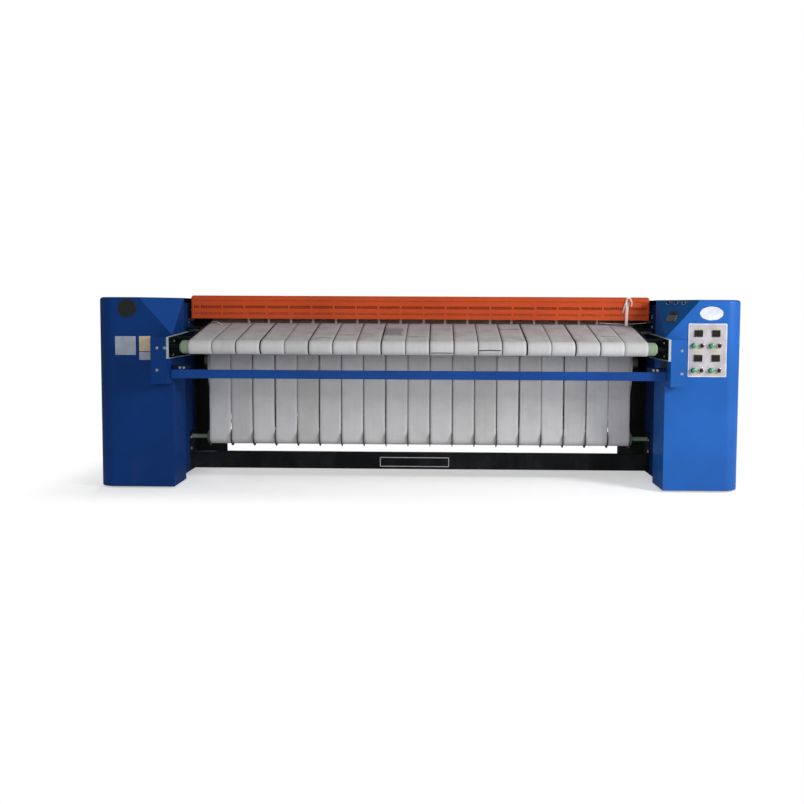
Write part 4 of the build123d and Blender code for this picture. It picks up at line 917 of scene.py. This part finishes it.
def add_curled_end():
    """A loose end of tape that arches over the first belt."""
    start, end = on_belt(-1.470, 0.468, 0.001), on_belt(-1.380, 0.412, 0.001)
    spots = [start]
    for share, ahead, rise in ((0.15, 0.0, 0.010), (0.45, -0.004, 0.015), (0.8, -0.003, 0.011)):
        spots.append(start.lerp(end, share) + Vector((0, ahead, rise)))
    spots.append(end + Vector((0.004, 0, 0.0006)))
    add_ribbon("loose_tape_end", curve_through(spots), 0.014, 0.0008, lambda share: Vector((0.35, 1, 0.1)),
               "root")


def add_loose_string():
    """A thin white string that sags from the last tape across to the frame wall."""
    (first, height), (last, last_height) = (TAPE_PLACES[-1], 1.115), (bay_half, 1.121)
    sag, steps, sides, radius = 0.010, 40, 6, 0.0018
    depth = hood_low.y + 0.012
    shape = bmesh.new()
    rings = []
    for step in range(steps + 1):
        share = step / steps
        x = first + (last - first) * share
        z = height + (last_height - height) * share - sag * 4 * share * (1 - share)
        angles = [math.tau * side / sides for side in range(sides)]
        rings.append([shape.verts.new((x, depth + radius * math.cos(angle), z + radius * math.sin(angle)))
                      for angle in angles])
    closed_tube(shape, rings)
    place_cloth_piece("loose_string", shape, "root")


# ---- hood ----------------------------------------------------------------------------
slot_rows = ((0.0345, 0.012), (0.0795, 0.024), (0.1245, 0.020))   # drop of each row's middle, its height
slot_widths = (0.0036, 0.0060, 0.0036)
slots_in_group, slot_spacing = 12, 0.012
slot_groups, groups_middle = 20, 0.026     # the plain webs between groups stand behind the tapes
short_group, short_middle = 3, -1.558      # the few slots left of the first whole group
slot_margin = 0.0012       # plain sheet over and under a slot in its cell
hood_sheet = 0.002
hood_bend = 0.028
end_bend = 0.014


def slotted_cell(drop, height, slot_width):
    """One slot in the piece of sheet round it, about X = 0."""
    radius, half, z = slot_width / 2, height / 2, hood_high.z - drop
    cap = half - slot_margin - radius
    hole, rim = [], []
    for up in (1, -1):
        for step, side in enumerate((1, 1, 0, -1, -1)):
            angle = math.pi * step / 4
            hole.append(Vector((math.cos(angle) * radius * up, up * (cap + math.sin(angle) * radius))))
            rim.append(Vector((up * side * slot_spacing / 2, up * (cap if step in (0, 4) else half))))
    shape = bmesh.new()
    front, back = hood_low.y, hood_low.y + hood_sheet
    skin(shape, [[shape.verts.new((p.x, y, z + p.y)) for p in points] for points, y in (
        (rim, front), (hole, front), (hole, back), (rim, back))], True)
    return mesh_of(shape, "slotted_cell", smooth=False)


def is_front_sheet(face):
    """Whether a face of the hood belongs to its flat front sheet."""
    middle = face.calc_center_median()
    deep = max(corner.co.y for corner in face.verts) > hood_low.y + hood_sheet + 0.0002
    inside = hood_low.z + 0.0005 < middle.z < hood_high.z - hood_bend and abs(middle.x) < hood_half - 0.0005
    return inside and not deep


def add_end_bends(shape):
    """The folded sheet round the hood's two end edges, from its rear over the front bend to the lip."""
    rear = max(corner.co.y for corner in shape.verts if abs(corner.co.x) > hood_half - 0.001)
    line = [(Vector((rear, hood_high.z)), Vector((0, 1)))]
    middle = Vector((hood_low.y + hood_bend, hood_high.z - hood_bend))
    for step in range(9):
        out = way_at(math.pi / 2 * (1 + step / 8))
        line.append((middle + out * hood_bend, out))
    line.append((Vector((hood_low.y, hood_low.z)), Vector((-1, 0))))
    turns = [math.radians(12 + 13 * step) for step in range(7)]
    profile = [(radius, turn) for radius, row in (
        (end_bend - 0.0001, turns), (end_bend - hood_sheet, turns[::-1])) for turn in row]
    for side in SIDES:
        rings = []
        for place, out in line:
            spots = []
            for radius, turn in profile:
                spot = place - out * (end_bend - radius * math.sin(turn))
                x = side * (hood_half - end_bend + radius * math.cos(turn))
                spots.append(shape.verts.new((x, spot.x, spot.y)))
            rings.append(spots)
        skin(shape, rings)
        for ring in (rings[0], rings[-1]):
            close_fold(shape, ring)


def add_hood():
    """The folded hood, its front sheet cut through by three full rows of fine slots."""
    shape = merged_copy("drum_hood")
    bmesh.ops.delete(shape, geom=[face for face in shape.faces if is_front_sheet(face)], context="FACES")
    levels = [hood_high.z - hood_bend]
    for drop, height in slot_rows:
        levels += [hood_high.z - drop + height / 2, hood_high.z - drop - height / 2]
    levels.append(hood_low.z)
    flat_half = hood_half - end_bend
    plain = [(-flat_half, flat_half, top, low) for top, low in zip(levels[::2], levels[1::2])]
    group, short = slots_in_group * slot_spacing, short_group * slot_spacing
    spans = [(short_middle - short / 2, short_middle + short / 2)]
    for index in range(slot_groups):
        first = groups_middle + (index - (slot_groups - 1) / 2) * belt_pitch - group / 2
        spans.append((first, first + group))
    webs = zip([-flat_half] + [end for _, end in spans], [start for start, _ in spans] + [flat_half])
    for left, right in webs:
        plain += [(left, right, top, low) for top, low in zip(levels[1:-1:2], levels[2::2])]
    for left, right, top, low in plain:
        corners = [Vector((right, top)), Vector((left, top)), Vector((left, low)), Vector((right, low))]
        prism(shape, corners, facing_front(0, 0, hood_low.y + hood_sheet), hood_sheet)
    add_end_bends(shape)
    orange, name = [FINISH["orange_paint"]], "drum_hood_piece"
    hood = place_piece(name, mesh_of(shape, name), orange, "hood", ("drum_hood",))
    ease_edges(hood, 0.0003)
    for index, ((drop, height), slot_width) in enumerate(zip(slot_rows, slot_widths)):
        for label, count, middle, repeats in (
                ("", slots_in_group, groups_middle, slot_groups), ("_end", short_group, short_middle, 1)):
            one = grown("slot_group", slotted_cell(drop, height, slot_width), ROW, {
                "Count": count, "Spacing": slot_spacing, "Middle": 0.0, "Finish": orange[0]})
            made = grown(f"hood_slots_{index + 1}{label}", one, ROW, {
                "Count": repeats, "Spacing": belt_pitch, "Middle": middle, "Finish": orange[0]})
            place_piece(made.name, made, orange, "hood")


# ---- guide rings ---------------------------------------------------------------------
def add_guide_rings():
    """Moulded rings on the lower front roller, one in each gap and one past each end belt."""
    spot, radius, _ = low_front_wheel
    half, bore, rim, steps = 0.0024, radius - 0.001, 0.066, 60
    flank = rim - 0.002
    profile = [(-half, bore), (-half, flank), (-half / 2, rim), (half / 2, rim), (half, flank), (half, bore)]
    shape = bmesh.new()
    rings = []
    for step in range(steps):
        angle = math.tau * step / steps
        rings.append([shape.verts.new((x, spot.x + reach * math.cos(angle), spot.y + reach * math.sin(angle)))
                      for x, reach in profile])
    skin(shape, rings, True)
    made = grown("guide_rings", mesh_of(shape, "guide_ring"), ROW, {
        "Count": belt_count + 1, "Spacing": belt_pitch, "Middle": 0.0, "Finish": RING_DARK})
    rings = place_piece("guide_rings", made, [RING_DARK], body_of("lower_front_roller"))
    ease_edges(rings, 0.0002)


# ---- covers, brackets and beams ------------------------------------------------------
def add_labels():
    """Bare plates and tags where the machine carries its plates."""
    badge = bmesh.new()
    prism(badge, [way_at(math.tau * step / 64) * 0.062 for step in range(64)],
          facing_front(-1.921, 1.199, face_y), 0.0012)
    ease_edges(place_piece("round_badge", mesh_of(badge, "round_badge"), [BADGE_BLACK]), 0.0004)
    for index, (middle, size, material) in enumerate((
            ((-1.9345, 0.953), (0.137, 0.124), LABEL_GREY), ((-1.805, 0.966), (0.078, 0.100), LABEL_CREAM),
            ((-1.805, 0.885), (0.078, 0.052), LABEL_GREY))):
        add_plate(f"left_plate_{index + 1}", middle, size, face_y, material)
    oval, edge = bmesh.new(), []
    for step in range(90):
        angle = math.tau * step / 90
        scallop = 1 + 0.035 * abs(math.sin(angle * 4.5))
        edge.append(Vector((0.0745 * math.cos(angle), 0.0435 * math.sin(angle))) * scallop)
    prism(oval, edge, facing_front(1.917, 1.184, face_y), 0.0006)
    place_piece("right_sticker", mesh_of(oval, "right_sticker", smooth=False), [LABEL_WHITE])
    beam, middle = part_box("lower_front_beam")[0].y + 0.012, (-0.031, 0.122)
    add_plate("beam_plate_frame", middle, (0.490, 0.068), beam, SCREW_ZINC, 0.004)
    add_plate("beam_plate", middle, (0.480, 0.058), beam - 0.001, FINISH["black_paint"], thick=0.0006)


def add_small_screws():
    """Cap screws on the brackets and plates, stud nuts on the beams' ends."""
    bracket_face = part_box("feed_brackets")[0].y
    add_screws("bracket_screws", [(x, bracket_face, z) for x, z in (
        (1.690, 0.9435), (1.693, 0.796), (-1.682, 0.9436), (-1.633, 0.9439), (-1.684, 0.801))], 0.0065, 0.004)
    beam = ((0.349, 0.291), (0.349, 0.212))
    for side, hand, plate, frame_wall in (
            (-1, "left", ((0.0, 0.895), (0.02, 0.985)), ((0.345, 1.106),)),
            (1, "right", ((0.017, 0.989), (0.011, 0.900)), ((0.345, 1.165), (0.345, 1.151), (0.344, 1.088)))):
        for label, spots, inset, head, height, sides in (
                ("plate", plate, 0.0043, 0.0065, 0.004, 20), ("beam", beam, 0.0062, 0.0075, 0.005, 6),
                ("frame", frame_wall, -0.0018, 0.0065, 0.005, 6)):
            places = [(side * (bay_half - inset), face_y + depth, z) for depth, z in spots]
            add_screws(f"{hand}_{label}_screws", places, head, height, (-side, 0, 0), sides)


# ---- panel ---------------------------------------------------------------------------
def add_display_bars(name, x, z, face):
    """Unlit bars of a two-row number display."""
    shape = bmesh.new()
    thin = 0.0008
    for raised, size in ((0.006, 0.009), (-0.008, 0.007)):
        for place in range(4):
            left = x - 0.015 + place * 0.010
            lying = [(0, up, size * 0.46, thin) for up in (0.5, 0, -0.5)]
            upright = [(along, up, thin, size * 0.42) for along, up in (
                (-0.5, 0.25), (0.5, 0.25), (-0.5, -0.25), (0.5, -0.25))]
            for along, up, wide, high in lying + upright:
                spot = facing_front(left + along * size * 0.56, z + raised + up * size, face)
                prism(shape, [Vector((across * wide / 2, rise * high / 2)) for across, rise in (
                    (1, 1), (-1, 1), (-1, -1), (1, -1))], spot, 0.0002)
    place_piece(name, mesh_of(shape, name, smooth=False), [BAR_UNLIT])


def add_panel():
    """Silver plate with a pale rim, dark screens, tags, and corner rivets."""
    low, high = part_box("control_panel")
    face = low.y
    dress("control_panel")
    middle, size = ((low.x + high.x) / 2, (low.z + high.z) / 2), (high.x - low.x, high.z - low.z)
    outer = rounded_outline(*size, 0.006)
    inner = rounded_outline(size[0] - 0.012, size[1] - 0.012, 0.003)
    to_space = facing_front(*middle, face)
    shape = bmesh.new()
    skin(shape, [[shape.verts.new(to_space(p.x, p.y, out)) for p in points] for points, out in (
        (outer, 0.0), (outer, 0.0006), (inner, 0.0006), (inner, 0.0))], True)
    place_piece("panel_rim", mesh_of(shape, "panel_rim", False), [LABEL_WHITE], "root")
    display_low, display_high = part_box("temperature_displays")
    dress("temperature_displays")
    glass_back, glass_thick = display_low.y + 0.0022, 0.0004
    tag = {"face": face, "material": TAG_YELLOW, "corner": 0.001, "thick": 0.0004}
    for row, z in enumerate((display_high.z - 0.022, display_low.z + 0.022)):
        for column in range(2):
            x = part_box(f"start_button_{column + 1}")[0].x + 0.041
            name = f"{row + 1}_{column + 1}"
            add_plate(
                "screen_" + name, (x, z), (0.045, 0.035), glass_back, SCREEN_GLASS, 0.001, glass_thick)
            add_plate("tag_over_" + name, (x, z + 0.030), (0.050, 0.008), **tag)
            add_plate("tag_under_" + name, (x, z - 0.1035), (0.062, 0.010), **tag)
            add_display_bars(f"digits_{name}", x, z, glass_back - glass_thick)
    inset = 0.012
    add_screws("panel_rivets", [(x, face, z) for x in (low.x + inset, high.x - inset) for z in (
        low.z + inset, high.z - inset)], 0.0026, 0.0012)


# ---- every other part, dressed -------------------------------------------------------
usual_ease = 0.0008        # width of an eased edge, in metres
EASED = {  # where it isn't the usual one
    "lower_front_beam": 0.0022, "lower_rear_beam": 0.0022, "upper_rear_tie": 0.0022, "feed_brackets": 0.0016,
    "safety_bar": 0.0018, "switch_bezels": 0.0012, "electrical_box": 0.0015, "gearmotor": 0.002,
    "feed_side_plates": 0.0012, "control_panel": 0.0006, "temperature_displays": 0.0006,
}
inner_wall_depth = 0.49    # the frames' inner walls are blue as far back as this


def frame_coat_and_shade():
    """The side frames' coat: blue by the covers, darkening softly to near black further in, as painted shade
    deeper in the bay.
    """
    material = flat_coat("side_frame_coat_and_shade", tint(20, 20, 24), 0.7, gloss=0.05)
    tree = material.node_tree
    effect = next(each for each in tree.nodes if each.bl_idname == "ShaderNodeGroup")
    depth = node(tree, "ShaderNodeSeparateXYZ", {0: object_place(tree)}).outputs[1]
    # painted shade: darker further into the bay
    shade_inward = ramp(tree, depth, face_y + inner_wall_depth - 0.06, face_y + inner_wall_depth + 0.03)
    tree.links.new(blended(tree, shade_inward, tint(16, 48, 100), tint(10, 13, 17)), effect.inputs["Colour"])
    return material


def add_start_cap(part):
    """A domed lens that stands over its ring, on its own stem."""
    low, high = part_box(part)
    x, z, crown = (low.x + high.x) / 2, (low.z + high.z) / 2, low.y
    stem, foot, steps = (high.x - low.x) / 2, high.y - low.y, 40
    # the radius of each ring, and how far it lies behind the crown
    dome = [(0.005, -0.0019), (0.010, -0.0006), (0.0135, 0.0016), (0.0148, 0.0032), (0.0142, 0.0036)]
    shape = bmesh.new()
    rings = []
    for radius, depth in [*dome, (stem, 0.0037), (stem, foot)]:
        rings.append([shape.verts.new((
            x + radius * math.cos(math.tau * step / steps), crown + depth,
            z + radius * math.sin(math.tau * step / steps))) for step in range(steps)])
    tips = [shape.verts.new((x, crown + depth, z)) for depth in (-0.0022, foot)]
    skin(shape, rings)
    for tip, ring in zip(tips, (rings[0], rings[-1])):
        for index in range(steps):
            shape.faces.new((tip, ring[index], ring[(index + 1) % steps]))
    lens = [FINISH["green_plastic"]]
    place_piece(part + "_piece", mesh_of(shape, part), lens, body_of(part), (part,))


def corner_coat(middle, way):
    """1 for a cover's sloping corner, which leans along all three axes, else 0."""
    return int(min(abs(along) for along in way) > 0.4)


def dress_rest():
    """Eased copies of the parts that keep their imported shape."""
    rim_from = bay_half - 0.0046
    dress("feed_side_plates", [RIM_ZINC, DARK_GREEN_AND_SHADE], lambda middle, way: int(abs(middle.x) > rim_from))
    spot, radius, _ = low_front_wheel
    dress("lower_front_roller", [DISC_GREEN, RING_DARK], lambda middle, way: int(
        abs(middle.x) < belts_half and (middle.yz - spot).length > radius + 0.0005))
    cap_end = belts_half + 0.0595
    dress("front_feed_roller", [FINISH["green_paint"], FINISH["black_paint"]], lambda middle, way: int(
        abs(middle.x) < belts_half or abs(middle.x) > cap_end), [(-belts_half, "X"), (belts_half, "X")])
    coat = frame_coat_and_shade()
    for side in ("left", "right"):
        dress(side + "_side_frame", [coat])
    # the bar's mounts take the navy copy: painted shade
    dress("bar_mounts", [SHADE_NAVY])
    # the zinc slide plate under the belts takes the near-black coat: painted shade
    dress("feed_slide_plate", [DARK_GREEN_AND_SHADE])
    buttons = [f"start_button_{index}" for index in (1, 2, 3, 4)]
    spots = [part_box(part)[0].lerp(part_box(part)[1], 0.5) for part in buttons]
    dress("switch_bezels", [FINISH["chrome"], FINISH["black_plastic"]], lambda middle, way: int(any(
        (middle.xz - spot.xz).length < 0.02 for spot in spots)))
    for part in buttons:
        add_start_cap(part)
    low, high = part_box("drive_display")
    split = low.z + 0.62 * (high.z - low.z)
    dress("drive_display", [SCREEN_BROWN, KEY_GREY], lambda middle, way: int(middle.z < split))
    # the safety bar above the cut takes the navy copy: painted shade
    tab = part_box("safety_bar")[1].z - 0.0275
    dress("safety_bar", [BAR_AND_LIT_CORNER_BLUE, SHADE_NAVY], lambda middle, way: int(middle.z > tab), [(tab, "Z")])
    # The left cover's front takes the darker copy of the blue and its sloping corner the lighter one; the
    # right cover's sloping corner takes the shaded copy: painted shade and painted light.
    for part, coats in (("left_front_cover", [LEFT_SHADE_BLUE, BAR_AND_LIT_CORNER_BLUE]),
                        ("right_front_cover", [FINISH["blue_paint"], SHADED_BLUE])):
        dress(part, coats, corner_coat)
    for part in frame["nodes"]:
        if part in DRESSED:
            continue
        if SLOT_OF[part] == "blue_paint":
            # the blue parts on the left take the darker copy: painted shade
            dress(part, [FINISH["blue_paint"], LEFT_SHADE_BLUE], lambda middle, way: int(middle.x < -1.0))
        else:
            dress(part)


add_belts()
add_seams()
add_guide_tapes()
add_hood()
add_guide_rings()
add_tied_tape()
add_curled_end()
add_loose_string()
add_labels()
add_small_screws()
add_panel()
dress_rest()


# ---- camera, light and floor ---------------------------------------------------------
def set_camera():
    """The view, with its pitch down, its yaw towards -X and its roll in degrees."""
    pitch, yaw, roll = (math.radians(angle) for angle in (3.11, 0.78, 0.29))
    lens = bpy.data.cameras.new("view")
    lens.lens, lens.sensor_width = 34.928, 36
    lens.shift_x, lens.shift_y = -0.03185, -0.0579
    ahead = Vector((-math.sin(yaw) * math.cos(pitch), math.cos(yaw) * math.cos(pitch), -math.sin(pitch)))
    right = ahead.cross(Vector((0, 0, 1))).normalized()
    up = right.cross(ahead)
    across = right * math.cos(roll) + up * math.sin(roll)
    above = up * math.cos(roll) - right * math.sin(roll)
    turned = Matrix((across, above, -ahead)).transposed().to_4x4()
    place = (0.13308, -5.72285, 1.17731)
    camera = stand("view", lens)
    camera.matrix_world = Matrix.Translation(place) @ turned
    bpy.context.scene.camera = camera


def add_lamp(name, place, aim, power, size):
    """A square lamp at a place, facing a point."""
    lamp = bpy.data.lights.new(name, "AREA")
    lamp.energy, lamp.shape, lamp.size = power, "SQUARE", size
    held = stand(name, lamp)
    held.location = place
    held.rotation_mode = "QUATERNION"
    held.rotation_quaternion = (Vector(aim) - Vector(place)).to_track_quat("-Z", "Y")


def seen_directly(tree):
    """1 where the camera looks straight or through glass, else 0."""
    rays = node(tree, "ShaderNodeLightPath").outputs
    return maths(tree, "MAXIMUM", rays["Is Camera Ray"], rays["Is Transmission Ray"])


def set_sky(level):
    """Even light all round, and plain white where the camera sees past the floor."""
    world = bpy.data.worlds.new("room")
    bpy.context.scene.world = world
    tree = empty_tree(world)
    room, white = (node(tree, "ShaderNodeBackground", {
        "Color": (1, 1, 1, 1), "Strength": strength}).outputs[0] for strength in (level, 1.0))
    mixed = node(tree, "ShaderNodeMixShader", {0: seen_directly(tree), 1: room, 2: white}).outputs[0]
    node(tree, "ShaderNodeOutputWorld", {0: mixed})


floor_lift = 0.48          # what the seen floor gains near the machine, where full white is 1
shadow_behind = 0.45       # how far in front of its back the machine's shadow starts to fade


def add_floor():
    """Pale floor that keeps the machine's shadow and is seen plain white away from it."""
    half = 30
    mesh = bpy.data.meshes.new("floor")
    corners = [(-half, -half, 0), (half, -half, 0), (half, half, 0), (-half, half, 0)]
    mesh.from_pydata(corners, [], [(0, 1, 2, 3)])
    floor = stand("floor", mesh)
    material = bpy.data.materials.new("floor")
    tree = empty_tree(material)
    shader = node(tree, "ShaderNodeBsdfPrincipled", {"Base Color": (0.86, 0.86, 0.86, 1), "Roughness": 0.7})
    x, y, _ = node(tree, "ShaderNodeSeparateXYZ", {0: object_place(tree)}).outputs

    def past(value, edge):
        return maths(tree, "MAXIMUM", maths(tree, "SUBTRACT", value, edge), 0.0)

    aside = past(maths(tree, "ABSOLUTE", x), outer_half)
    along = maths(tree, "ADD", past(face_y, y), past(y, back_y - shadow_behind))
    squares = (maths(tree, "POWER", value, 2.0) for value in (aside, along))
    away = maths(tree, "SQRT", maths(tree, "ADD", *squares))
    seen = seen_directly(tree)
    glow, white = (node(tree, "ShaderNodeEmission", {
        "Color": (1, 1, 1, 1), "Strength": strength}).outputs[0] for strength in (
            maths(tree, "MULTIPLY", seen, floor_lift), 1.0))
    lifted = node(tree, "ShaderNodeAddShader", {0: shader.outputs[0], 1: glow}).outputs[0]
    share = maths(tree, "MULTIPLY", seen, ramp(tree, away, 0.02, 0.5))
    mixed = node(tree, "ShaderNodeMixShader", {0: share, 1: lifted, 2: white}).outputs[0]
    node(tree, "ShaderNodeOutputMaterial", {0: mixed})
    mesh.materials.append(material)


set_camera()
set_sky(0.25)
add_lamp("key", (5.6, -3.6, 2.8), (0.4, 0, 0.8), 255, 1.6)
add_lamp("back", (-2.6, 6.4, 3.2), (0, 0, 0.6), 120, 2.4)
add_lamp("fill", (-0.2, -6.2, 2.5), (0, 0, 0.7), 76, 2.2)
add_floor()
bpy.context.scene.view_settings.view_transform = "Standard"
